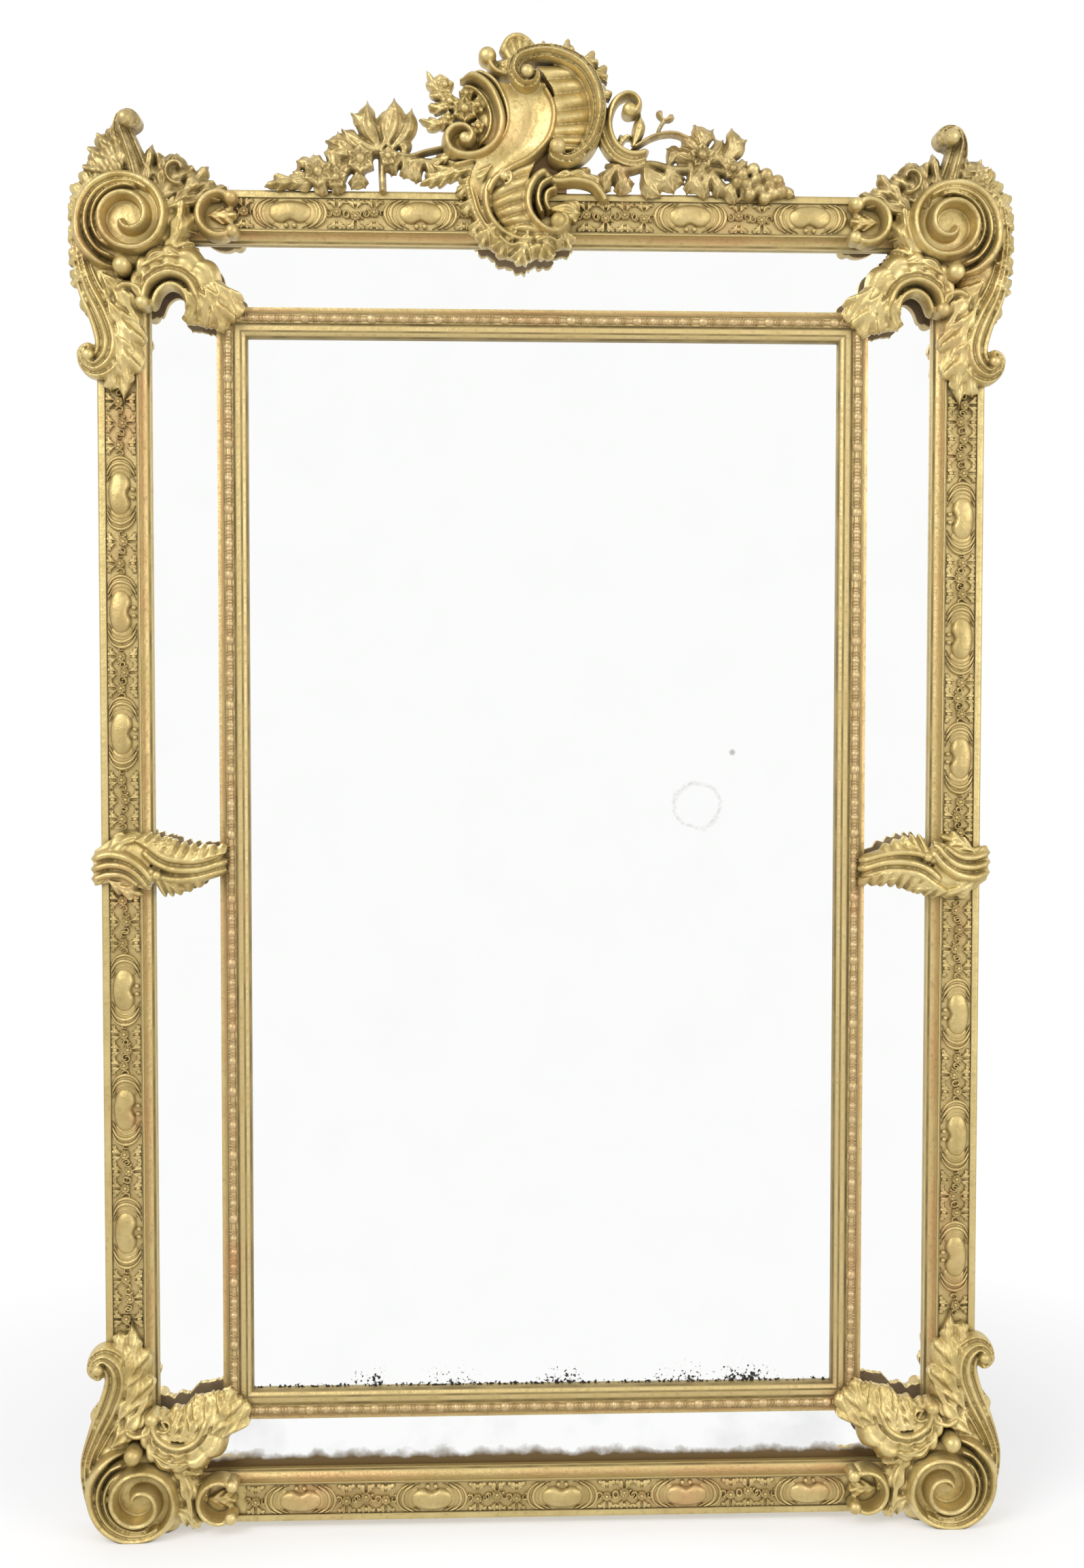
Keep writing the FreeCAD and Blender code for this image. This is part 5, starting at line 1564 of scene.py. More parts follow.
@dataclass
class MidClasp(Ornament):
    """Ribbon wrapped over a stile, with a leaf strap to the inner frame.

    Attributes:
        name: Name of its side.
        side: Minus one on the left, one on the right.
        stroke_shares: Ribbons over the stile, then the strap's long flutes with a leafy fringe.
        ridge_shares: Middle and reach of each turn of the ribbon past the outer edge.
    """

    name: str
    side: int
    stroke_shares: tuple[Stroke, ...] = (
        Panel(((-0.07, -0.24), (0.20, -0.20), (0.62, -0.30)), ((-0.07, 0.20), (0.20, 0.36), (0.62, 0.36)),
              (0.14, 0.20, 0.22, 0.20, 0.10)),
        Leaf(((0.06, 0.10), (0.28, 0.30), (0.58, 0.38)), 0.26, (0.30, 0.30, 0.18), lobes=2),
        Scroll(((-0.07, 0.10), (0.12, 0.16), (0.34, 0.12), (0.54, -0.02), (0.67, -0.20)), (0.15, 0.17, 0.14),
               (0.34, 0.42, 0.36)),
        Scroll(((-0.08, -0.03), (0.12, 0.03), (0.34, 0.00), (0.50, -0.12), (0.61, -0.27)), (0.13, 0.15, 0.12),
               (0.34, 0.40, 0.34)),
        Scroll(((-0.07, -0.15), (0.12, -0.09), (0.32, -0.11), (0.50, -0.24)), (0.12, 0.13, 0.10),
               (0.32, 0.36, 0.30)),
        Scroll(((0.46, 0.36), (0.64, 0.24), (0.86, 0.11), (1.19, 0.08), (1.52, 0.16)), (0.14, 0.17, 0.14),
               (0.28, 0.38, 0.26)),
        Scroll(((0.52, 0.22), (0.70, 0.06), (0.94, -0.03), (1.25, -0.03), (1.57, 0.07)), (0.14, 0.15, 0.13),
               (0.30, 0.40, 0.26)),
        Scroll(((0.60, -0.02), (0.76, -0.12), (0.98, -0.16), (1.25, -0.13), (1.56, -0.04)),
               (0.13, 0.15, 0.12), (0.32, 0.34, 0.24)),
        Panel(((0.44, 0.34), (0.68, 0.21), (0.96, 0.11), (1.25, 0.10), (1.56, 0.17)), ((0.56, 0.43),
               (0.78, 0.36), (1.04, 0.28), (1.30, 0.25), (1.58, 0.27)), (0.34, 0.30, 0.24, 0.10), flutes=9,
              flute_depth=0.07, scallop=0.4),
        Panel(((0.64, -0.08), (0.90, -0.15), (1.26, -0.12)), ((0.74, -0.34), (0.98, -0.33), (1.30, -0.22)),
              (0.30, 0.27, 0.20, 0.08), flutes=5, flute_depth=0.07, scallop=0.4),
        Leaf(((0.62, 0.28), (0.80, 0.28), (0.98, 0.33)), 0.16, (0.34, 0.28, 0.12)),
        Leaf(((1.06, 0.14), (1.24, 0.18), (1.42, 0.27)), 0.16, (0.32, 0.28, 0.12)),
        Leaf(((0.76, -0.14), (0.92, -0.24), (1.08, -0.30)), 0.16, (0.32, 0.26, 0.12)),
        Leaf(((0.10, -0.16), (0.30, -0.28), (0.54, -0.36)), 0.22, (0.24, 0.22, 0.08)),
        Ball((0.72, -0.10), 0.06, 0.42),
    )
    ridge_shares: Path = ((0.10, -0.115), (-0.03, -0.12), (-0.15, -0.115))

    def seat(self) -> Seat:
        """Seat at mid height on the outer edge of the stile; the right one is turned half round.

        Returns:
            The seat.
        """
        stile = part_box("stile_right")
        middle = (stile[0].z + stile[1].z) / 2
        return self.seat_at((self.side * stile[1].x, middle), (-self.side, 0), (0, -self.side))

    def build(self) -> None:
        """Carve and dress the clasp."""
        seat = self.seat()
        node = "mid_clasp_" + self.name
        carving = Carving("carved_" + node).add(self.stroke_shares, seat)
        self.add_wrap(carving, seat)
        self.dress(carving.finish(self.grain), node)

    def add_wrap(self, carving: Carving, seat: Seat) -> None:
        """Rounded turns of the ribbon past the outer edge, back to the boards.

        Args:
            carving: The clasp.
            seat: Its seat.
        """
        half_share = 0.07
        shoulder_share = 0.7
        inner_share = 0.08
        rise_tuck_shares = ((-0.43, 0.0), (0.10, 0.0), (0.20, 0.04))
        side = half_share * shoulder_share
        for middle, reach in self.ridge_shares:
            rings = []
            for rise, tuck in rise_tuck_shares:
                shoulder = reach * shoulder_share + tuck
                rings.append([
                    (0.0, middle - half_share, rise), (shoulder, middle - side, rise),
                    (reach + tuck, middle, rise), (shoulder, middle + side, rise),
                    (0.0, middle + half_share, rise), (inner_share, middle, rise)])
            carving.add_tube(seat.world(np.array(rings)))


@dataclass
class Crest(Ornament):
    """Pierced crest: cartouche, its foot, two scrolls and two garlands.

    Places are shares of the module from the middle of the top rail's upper edge.

    Attributes:
        cartouche_shares: Smooth shield with a fluted shell in a big C, and leaves over its top.
        foot_shares: Lower shell on the rail, with a C, a curled leaf and a ruffled leaf under it.
        left_scroll_shares: Ribbed C that ends in a curl, with a spray of flowers in it.
        right_scroll_shares: Open scroll with a leaf across it.
        left_garland_shares: Stem with leaves, a rose and a cluster of flowers, held by a post.
        berry_shares: Berries of the right garland.
        right_garland_shares: Stems with a bell flower, leaves, a sprig and a bunch of berries.
    """

    cartouche_shares: tuple[Stroke, ...] = (
        Panel(((-0.60, 1.26), (-0.46, 0.94), (-0.50, 0.70), (-0.64, 0.50), (-0.86, 0.30), (-0.94, 0.04),
               (-0.88, -0.16)), ((-0.02, 1.26), (0.07, 0.99), (0.08, 0.76), (-0.04, 0.50), (-0.36, 0.26),
               (-0.64, 0.08), (-0.74, -0.14)), (0.46, 0.41, 0.36, 0.34, 0.36, 0.42, 0.48), sink=0.3),
        Scroll(((-0.92, 1.42), (-0.66, 1.30), (-0.52, 1.08), (-0.47, 0.84), (-0.53, 0.62), (-0.72, 0.42),
                (-1.00, 0.30), (-1.18, 0.26)), (0.11, 0.10), (0.54, 0.46)),
        Scroll(((-0.06, 1.26), (0.07, 1.02), (0.09, 0.80), (0.01, 0.56), (-0.20, 0.35), (-0.44, 0.22),
                (-0.64, 0.08), (-0.74, -0.12)), (0.09, 0.11, 0.11), (0.60, 0.58, 0.60, 0.54)),
        Leaf(((-0.66, 0.28), (-0.84, 0.14), (-1.02, 0.12)), 0.22, (0.44, 0.40, 0.24), lobes=2),
        Panel(((-0.12, 1.48), (0.08, 1.18), (0.11, 0.84), (0.10, 0.60), (0.18, 0.44)), ((0.30, 1.52),
               (0.48, 1.26), (0.55, 0.92), (0.52, 0.62), (0.40, 0.44)), (0.44, 0.42, 0.40, 0.36, 0.28),
              flutes=7, flute_depth=0.12),
        Scroll(((-0.22, 1.38), (-0.13, 1.32), (-0.17, 1.22), (-0.30, 1.22), (-0.40, 1.38), (-0.32, 1.55),
                (-0.06, 1.63), (0.20, 1.60), (0.44, 1.47), (0.59, 1.24), (0.65, 0.96), (0.60, 0.68),
                (0.48, 0.46), (0.28, 0.33), (0.10, 0.36), (0.06, 0.46)),
               (0.10, 0.14, 0.20, 0.22, 0.20, 0.17, 0.12), (0.94, 0.90, 0.78, 0.70, 0.70, 0.76, 0.90),
               Section.REEDED),
        Ball((0.13, 0.44), 0.10, 0.97),
        Ball((-0.24, 1.32), 0.08, 0.99),
        Panel(((-0.42, 1.44), (-0.30, 1.54), (-0.16, 1.56)), ((-0.58, 1.70), (-0.34, 1.86), (-0.12, 1.74)),
              (0.46, 0.52, 0.46, 0.32), flutes=5, flute_depth=0.06, scallop=0.1),
        Scroll(((-0.54, 1.66), (-0.46, 1.80), (-0.32, 1.84), (-0.18, 1.76)), (0.11, 0.14, 0.11),
               (0.38, 0.46, 0.42)),
        Leaf(((-0.30, 1.42), (-0.46, 1.50), (-0.58, 1.46)), 0.26, (0.50, 0.54, 0.36), lobes=2),
        Scroll(((-0.40, 1.38), (-0.60, 1.42), (-0.70, 1.54), (-0.72, 1.62)), (0.12, 0.10), (0.40, 0.42)),
        Ball((-0.72, 1.61), 0.11, 0.46),
        Leaf(((-0.08, 1.60), (0.00, 1.70), (0.10, 1.74)), 0.20, (0.46, 0.42, 0.26), lobes=2),
        Leaf(((0.12, 1.56), (0.24, 1.68), (0.36, 1.74)), 0.24, (0.42, 0.40, 0.22)),
        Leaf(((0.32, 1.46), (0.50, 1.56), (0.66, 1.57)), 0.24, (0.42, 0.40, 0.22)),
        Leaf(((0.46, 1.32), (0.64, 1.41), (0.77, 1.38)), 0.22, (0.42, 0.40, 0.22)),
        Leaf(((0.54, 1.10), (0.70, 1.18), (0.81, 1.15)), 0.20, (0.42, 0.40, 0.22), lobes=2),
        Leaf(((0.58, 0.90), (0.70, 0.98), (0.79, 0.95)), 0.16, (0.40, 0.36, 0.22), lobes=2),
        Leaf(((-0.74, 0.24), (-1.06, 0.24), (-1.34, 0.16), (-1.57, 0.06)), 0.28, (0.36, 0.34, 0.18), lobes=5),
        Leaf(((-0.70, 0.14), (-0.92, 0.08), (-1.12, -0.02)), 0.22, (0.34, 0.30, 0.18)),
    )
    foot_shares: tuple[Stroke, ...] = (
        Panel(((-0.66, 0.14), (-0.68, -0.14), (-0.58, -0.38), (-0.40, -0.54)), ((-0.12, 0.36), (-0.24, 0.02),
               (-0.20, -0.28), (-0.04, -0.54)), (0.26, 0.36, 0.44, 0.46, 0.42, 0.38), flutes=6,
              flute_depth=0.11),
        Scroll(((-0.64, 0.16), (-0.74, -0.06), (-0.70, -0.32), (-0.54, -0.52), (-0.32, -0.62),
                (-0.10, -0.60)), (0.12, 0.10), (0.50, 0.46)),
        Scroll(((-0.94, 0.16), (-0.90, -0.08), (-0.82, -0.32), (-0.66, -0.54), (-0.46, -0.68)), (0.16, 0.14),
               (0.36, 0.36), Section.REEDED),
        Scroll(((0.06, 0.24), (-0.12, 0.13), (-0.22, -0.08), (-0.20, -0.30), (-0.06, -0.47), (0.12, -0.54),
                (0.25, -0.46), (0.24, -0.36), (0.15, -0.32)), (0.14, 0.10), (0.56, 0.66)),
        Scroll(((0.10, 0.14), (-0.06, 0.04), (-0.10, -0.14), (-0.04, -0.32)), (0.10, 0.08), (0.50, 0.46)),
        Scroll(((0.14, 0.02), (0.02, -0.04), (0.00, -0.16), (0.06, -0.28)), (0.10, 0.08), (0.42, 0.40)),
        Ball((0.15, -0.42), 0.10, 0.72),
        Scroll(((-0.04, 0.20), (0.12, 0.10), (0.36, 0.12), (0.58, 0.07), (0.70, -0.06), (0.74, -0.15)),
               (0.14, 0.12), (0.44, 0.34)),
        Leaf(((0.10, 0.16), (0.34, 0.20), (0.60, 0.12), (0.76, -0.06)), 0.22, (0.38, 0.36, 0.22), lobes=4),
        Leaf(((0.04, -0.24), (0.24, -0.24), (0.44, -0.28)), 0.28, (0.32, 0.38, 0.22), lobes=1, cut=0),
        Scroll(spiral((-0.52, 0.13), (0.11, 0.05), 260, 300), (0.10, 0.07), (0.52, 0.58)),
        Ball((-0.52, 0.13), 0.06, 0.58),
        Panel(((-0.62, -0.42), (-0.40, -0.52), (-0.10, -0.54), (0.20, -0.50)), ((-0.76, -0.62),
               (-0.54, -0.78), (-0.22, -0.84), (0.08, -0.76), (0.26, -0.62)),
              (0.30, 0.40, 0.32, 0.38, 0.28, 0.14), flutes=5, flute_depth=0.05, scallop=0.16),
        Leaf(((-0.36, -0.52), (-0.50, -0.66), (-0.58, -0.84)), 0.26, (0.46, 0.46, 0.24)),
        Leaf(((-0.22, -0.54), (-0.28, -0.72), (-0.36, -0.92)), 0.28, (0.48, 0.48, 0.24), lobes=4),
        Leaf(((0.00, -0.52), (0.00, -0.68), (0.08, -0.84)), 0.26, (0.48, 0.46, 0.24)),
        Leaf(((0.14, -0.50), (0.24, -0.56), (0.30, -0.71)), 0.20, (0.46, 0.42, 0.24)),
        Leaf(((-0.58, -0.42), (-0.72, -0.54), (-0.80, -0.71)), 0.24, (0.44, 0.42, 0.24)),
        Scroll(((-0.60, -0.58), (-0.44, -0.70), (-0.30, -0.66)), (0.09, 0.07), (0.50, 0.46)),
        Scroll(((-0.14, -0.66), (0.02, -0.60), (0.16, -0.66)), (0.08, 0.07), (0.50, 0.46)),
        Leaf(((-0.84, -0.10), (-0.94, -0.20), (-1.02, -0.30)), 0.20, (0.32, 0.28, 0.16), lobes=2),
        Leaf(((-0.78, -0.34), (-0.86, -0.46), (-0.92, -0.56)), 0.18, (0.32, 0.28, 0.16), lobes=2),
        Leaf(((-0.88, 0.06), (-1.00, 0.00), (-1.08, -0.10)), 0.16, (0.32, 0.28, 0.16), lobes=2),
    )
    left_scroll_shares: tuple[Stroke, ...] = (
        Panel(((-1.02, 1.26), (-1.00, 1.04), (-1.04, 0.84), (-1.00, 0.66)), ((-0.70, 1.18), (-0.60, 0.94),
               (-0.58, 0.74), (-0.70, 0.50)), (0.10, 0.14, 0.24, 0.40)),
        Scroll(((-1.06, 1.33), (-0.86, 1.32), (-0.68, 1.18), (-0.57, 0.94), (-0.55, 0.74), (-0.62, 0.54),
                (-0.78, 0.41), (-0.98, 0.37), (-1.16, 0.43), (-1.22, 0.58), (-1.14, 0.70), (-1.00, 0.71),
                (-0.91, 0.62), (-0.95, 0.52), (-1.02, 0.53)), (0.15, 0.15, 0.14, 0.10), (0.64, 0.64, 0.72)),
        Scroll(((-1.04, 1.22), (-0.88, 1.19), (-0.74, 1.04), (-0.68, 0.84), (-0.72, 0.64), (-0.84, 0.50)),
               (0.09, 0.07), (0.44, 0.44)),
        Ball((-1.02, 0.56), 0.22, 0.30),
        Ball((-1.00, 0.56), 0.07, 0.72),
        *flower((-1.00, 0.94), 0.17, 6, 0.56),
        *flower((-1.24, 1.24), 0.12, 5, 0.44),
        *flower((-0.84, 1.00), 0.11, 5, 0.46),
        *flower((-0.84, 0.74), 0.10, 5, 0.46),
        *flower((-1.18, 1.04), 0.12, 5, 0.46),
        *flower((-1.20, 0.84), 0.10, 5, 0.44),
        *flower((-0.98, 1.14), 0.10, 5, 0.44),
        Leaf(((-1.10, 1.00), (-1.30, 1.18), (-1.48, 1.46)), 0.24, (0.34, 0.32, 0.2), lobes=4),
        Leaf(((-1.20, 1.12), (-1.28, 1.28), (-1.31, 1.42)), 0.16, (0.34, 0.32, 0.2), lobes=2),
        Leaf(((-1.20, 0.98), (-1.32, 0.99), (-1.46, 1.03)), 0.16, (0.32, 0.30, 0.2), lobes=2),
        Leaf(((-1.10, 0.86), (-1.34, 0.80), (-1.58, 0.86)), 0.18, (0.32, 0.30, 0.2)),
        Leaf(((-1.14, 0.44), (-1.32, 0.34), (-1.46, 0.24)), 0.20, (0.30, 0.28, 0.18)),
    )
    right_scroll_shares: tuple[Stroke, ...] = (
        Scroll(((1.00, 0.94), (1.10, 0.95), (1.15, 1.06), (1.09, 1.15), (0.98, 1.17), (0.86, 1.09),
                (0.79, 0.92), (0.79, 0.74), (0.87, 0.56), (1.02, 0.46), (1.18, 0.46), (1.28, 0.52)),
               (0.10, 0.11), (0.46, 0.36)),
        Ball((1.03, 0.97), 0.09, 0.50),
        Scroll(((0.66, 0.92), (0.72, 0.64), (0.86, 0.43), (1.08, 0.35), (1.26, 0.40)), (0.16, 0.14),
               (0.40, 0.34), Section.REEDED),
        Leaf(((1.08, 0.54), (1.14, 0.72), (1.18, 0.96)), 0.16, (0.30, 0.32, 0.24), lobes=1, cut=0),
        Leaf(((0.92, 0.54), (0.96, 0.64), (1.06, 0.68)), 0.12, (0.32, 0.30), lobes=2),
    )
    left_garland_shares: tuple[Stroke, ...] = (
        Scroll(((-1.08, 0.46), (-1.30, 0.34), (-1.54, 0.34), (-1.78, 0.36), (-2.02, 0.46), (-2.30, 0.38),
                (-2.60, 0.22), (-2.90, 0.12), (-3.20, 0.02)), (0.12, 0.12), (0.24, 0.20)),
        Scroll(((-1.20, 0.52), (-1.48, 0.46), (-1.70, 0.40), (-1.92, 0.46)), (0.07, 0.07), (0.28, 0.26)),
        Scroll(((-2.02, 0.44), (-2.02, 0.16), (-2.01, -0.06)), (0.10, 0.09), (0.22, 0.22)),
        *flower((-2.28, 0.34), 0.19, 6, 0.46),
        *flower((-2.80, 0.18), 0.20, 6, 0.42),
        *flower((-2.58, 0.12), 0.15, 5, 0.36),
        *flower((-1.94, 0.38), 0.13, 5, 0.38),
        *spray((-2.04, 0.46), 0.70, (76, 104, 128, 150), 0.26, 0.30),
        *spray((-1.92, 0.46), 0.62, (64, 88), 0.22, 0.30),
        *spray((-2.30, 0.34), 0.50, (150, 126, 168), 0.22, 0.30),
        *spray((-2.30, 0.30), 0.34, (215, 250, 285), 0.20, 0.28),
        *spray((-2.66, 0.18), 0.34, (95, 130, 250, 290, 60), 0.20, 0.28),
        *spray((-2.84, 0.14), 0.32, (140, 165, 100, 200), 0.18, 0.26),
        *spray((-1.50, 0.36), 0.30, (250, 290, 215), 0.20, 0.28),
        *spray((-1.76, 0.38), 0.26, (235, 270, 95), 0.18, 0.28),
        Leaf(((-2.90, 0.06), (-3.20, 0.08), (-3.48, 0.03)), 0.22, (0.26, 0.26, 0.14)),
    )
    berry_shares: Path = (
        (2.44, 0.22), (2.58, 0.28), (2.62, 0.16), (2.74, 0.22), (2.50, 0.10), (2.54, -0.02), (2.66, 0.04),
        (2.78, 0.10), (2.88, 0.14), (2.82, 0.00), (2.92, 0.02), (2.72, -0.06), (2.38, 0.12))
    right_garland_shares: tuple[Stroke, ...] = (
        Scroll(((0.74, 0.34), (1.00, 0.27), (1.30, 0.34), (1.60, 0.28), (1.90, 0.30), (2.20, 0.26),
                (2.50, 0.14), (2.80, 0.06), (3.02, 0.00)), (0.13, 0.10), (0.28, 0.20)),
        Scroll(((1.06, 0.52), (1.34, 0.68), (1.60, 0.72), (1.84, 0.62)), (0.07, 0.07), (0.28, 0.28)),
        Scroll(((1.38, 0.68), (1.42, 0.80), (1.48, 0.90)), (0.05, 0.05), (0.22, 0.20)),
        *spray((1.46, 0.88), 0.16, (35, 105), 0.09, 0.24),
        *spray((1.92, 0.40), 0.46, (100, 66, 42), 0.22, 0.34),
        *spray((1.90, 0.40), 0.34, (130, 160, 20, 250, 290), 0.20, 0.36),
        *flower((1.93, 0.42), 0.17, 5, 0.50),
        *spray((2.20, 0.36), 0.48, (76, 44, 58), 0.20, 0.30),
        *spray((2.24, 0.30), 0.30, (20, 110, 140, 330), 0.18, 0.30),
        *flower((2.32, 0.28), 0.14, 5, 0.38),
        *(Ball(place, 0.08, 0.36) for place in berry_shares),
        Leaf(((2.70, 0.06), (2.92, 0.06), (3.13, -0.03)), 0.20, (0.26, 0.26, 0.14), lobes=2),
        *spray((0.90, 0.32), 0.40, (242, 272, 300), 0.24, 0.32),
        *spray((1.22, 0.32), 0.44, (300, 275, 330), 0.24, 0.30),
        *spray((1.52, 0.32), 0.34, (285, 250, 315, 50, 80), 0.20, 0.28),
        *spray((1.80, 0.30), 0.34, (300, 262, 120), 0.20, 0.28),
        *spray((2.06, 0.26), 0.36, (256, 284, 310), 0.20, 0.28),
        *spray((2.36, 0.14), 0.28, (270, 300, 240), 0.18, 0.26),
    )

    def seat(self) -> Seat:
        """Seat on the top rail's upper edge."""
        return self.seat_at((0.0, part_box("rail_top")[1].z), (1, 0), (0, 1))

    def build(self) -> None:
        """Carve and dress the crest's pieces."""
        seat = self.seat()
        parts = {
            "crest_cartouche": self.cartouche_shares,
            "crest_foot": self.foot_shares,
            "crest_scroll_left": self.left_scroll_shares,
            "crest_scroll_right": self.right_scroll_shares,
            "crest_garland_left": self.left_garland_shares,
            "crest_garland_right": self.right_garland_shares,
        }
        for node, strokes in parts.items():
            self.dress(Carving("carved_" + node).add(strokes, seat).finish(self.grain), node)


class Run(Enum):
    """Which way a strip runs."""

    ACROSS = "across"
    UP = "up"


@dataclass
class Frieze:
    """Strip of pressed composition with bean-shaped bosses between crescents, and foliage between them.

    Places are shares of the strip's width: along the strip, then from its middle towards the glass.

    Attributes:
        node: The solid that it stands for.
        run: Which way it runs.
        glass: One where the glass lies right of it or over it, minus one where it lies the other way.
        boss_shares: Middle of each boss, in shares of the strip's length.
        finish: Its gilding.
        lead_shares: How far the foliage starts before the strip and goes on past its end.
        ground: Depth from the wall plane of its ground.
        room: Metres for a rise of one.
        bean_shares: Length, width and rise of a boss, and its middle towards the glass.
        notch_bead_shares: Place along and across, radius and rise of the beads at a boss's notch.
        pillow_shares: Place beyond a boss's end and across, radius and rise of the swelling there.
        crescent_shares: Horn and belly beyond the boss's end, width and rise of each crescent.
        bow_shares: Places of a crescent: share of the way from its horn to its belly, and place across.
        pitch_share: Length of a knot of foliage.
        slab_shares: Half width, rise of the back, rise of the front and gap at the ends of the ground.
    """

    node: str
    run: Run
    glass: int
    boss_shares: Values
    finish: Material
    lead_shares: Pair = (0.0, 0.0)
    ground: float = 37.4 * MM
    room: float = 10 * MM
    bean_shares: tuple[float, float, float, float] = (1.42, 0.76, 0.95, -0.04)
    notch_bead_shares: tuple[float, float, float, float] = (0.13, 0.38, 0.08, 0.66)
    pillow_shares: tuple[float, float, float, float] = (0.10, -0.02, 0.46, 0.46)
    crescent_shares: tuple[tuple[float, float, float, float], ...] = (
        (-0.34, 0.10, 0.10, 0.56), (-0.14, 0.27, 0.17, 0.74), (0.06, 0.45, 0.15, 0.64))
    bow_shares: Path = ((0, 0.46), (0.72, 0.27), (1, -0.02), (0.72, -0.31), (0, -0.47))
    pitch_share: float = 0.62
    slab_shares: tuple[float, float, float, float] = (0.495, -0.02, 0.06, 0.005)

    def seat(self) -> tuple[Seat, float]:
        """Seat at the start of the strip.

        Returns:
            The seat, and the strip's length in widths.
        """
        low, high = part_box(self.node)
        middle = (low + high) / 2
        size = high - low
        if self.run is Run.ACROSS:
            seat = Seat((low.x, middle.z), (1, 0), (0, self.glass), size.z, self.ground, self.room)
            return seat, size.x / size.z
        seat = Seat((middle.x, low.z), (0, 1), (self.glass, 0), size.x, self.ground, self.room)
        return seat, size.z / size.x

    def boss(self, middle: float) -> tuple[Stroke, ...]:
        """Boss between nested crescents, with two beads at its notch.

        Args:
            middle: Its place along the strip.

        Returns:
            The strokes.
        """
        horn_width_share = 0.4
        horn_rise_share = 0.7
        length, across, top, towards_glass = self.bean_shares
        bead_along, bead_side, *bead_size = self.notch_bead_shares
        pillow_along, pillow_side, *pillow_size = self.pillow_shares
        strokes: list[Stroke] = [Cabochon((middle, towards_glass), length, across, top)]
        for way in (-1, 1):
            end = middle + way * length / 2
            strokes.append(Ball((middle + way * bead_along, bead_side), *bead_size, base=0))
            strokes.append(Ball((end + way * pillow_along, pillow_side), *pillow_size, base=0))
            for horn, belly, width, rise in self.crescent_shares:
                bow = tuple(
                    (end + way * (horn + share * (belly - horn)), side) for share, side in self.bow_shares)
                widths = (horn_width_share * width, width, horn_width_share * width)
                rises = (horn_rise_share * rise, rise, horn_rise_share * rise)
                strokes.append(Scroll(bow, widths, rises, base=0))
        return tuple(strokes)

    def foliage(self, start: float, end: float) -> tuple[Stroke, ...]:
        """Knots of leaves, tendrils and beads that fill the strip between two places.

        Args:
            start: Where the foliage starts along the strip.
            end: Where it ends.

        Returns:
            The strokes.
        """
        flower_side_share = 0.06
        flower_shares = (0.18, 5, 0.70)
        bead_side_share = 0.36
        bead_shares = (0.08, 0.60)
        coil_place_shares = (0.27, 0.02)
        coil_radius_shares = (0.13, 0.10, 0.04)
        coil_turn_degrees = 330
        coil_width_shares = (0.09, 0.06)
        coil_rise_shares = (0.50, 0.58)
        leaf_spine_shares = ((0.05, 0.20), (0.14, 0.36), (0.33, 0.42))
        leaf_width_share = 0.22
        leaf_rise_shares = (0.60, 0.55, 0.36)
        strokes: list[Stroke] = []
        count = max(1, round((end - start) / self.pitch_share))
        for index in range(count):
            middle = start + (index + 0.5) * (end - start) / count
            turn = 1 if index % 2 else -1
            strokes += flower((middle, flower_side_share * turn), *flower_shares, 90 * turn)
            strokes.append(Ball((middle, -bead_side_share * turn), *bead_shares, base=0))
            for way in (-1, 1):
                eye = (middle + way * coil_place_shares[0], coil_place_shares[1] * turn)
                coil = spiral(eye, coil_radius_shares, 90 * way, way * turn * coil_turn_degrees)
                strokes.append(Scroll(coil, coil_width_shares, coil_rise_shares, base=0))
                for tilt in (-1, 1):
                    spine = tuple((middle + way * along, tilt * side) for along, side in leaf_spine_shares)
                    strokes.append(Leaf(spine, leaf_width_share, leaf_rise_shares, lobes=2, base=0))
        return tuple(strokes)

    def build(self) -> None:
        """Press and dress the strip."""
        end_gap_share = 0.02
        clear_share = 0.50
        least_share = 0.3
        seat, length = self.seat()
        carving = Carving("pressed_" + self.node)
        half, back, front, gap = self.slab_shares
        section = ((-half, back), (-half, front), (half, front), (half, back))
        slab = [[(along, *corner) for corner in section] for along in (gap, length - gap)]
        carving.add_tube(seat.world(np.array(slab)))
        reach = self.bean_shares[0] / 2 + clear_share
        stops = [end_gap_share - self.lead_shares[0]]
        for share in self.boss_shares:
            carving.add(self.boss(share * length), seat)
            stops += [share * length - reach, share * length + reach]
        stops.append(length - end_gap_share + self.lead_shares[1])
        for start, end in zip(stops[::2], stops[1::2]):
            if end - start > least_share:
                carving.add(self.foliage(start, end), seat)
        self.dress(carving.finish())

    def dress(self, piece: Piece) -> None:
        """Give the strip its gilding and let it stand for its solid."""
        settle(piece, self.finish, "gilt_composition", self.node)


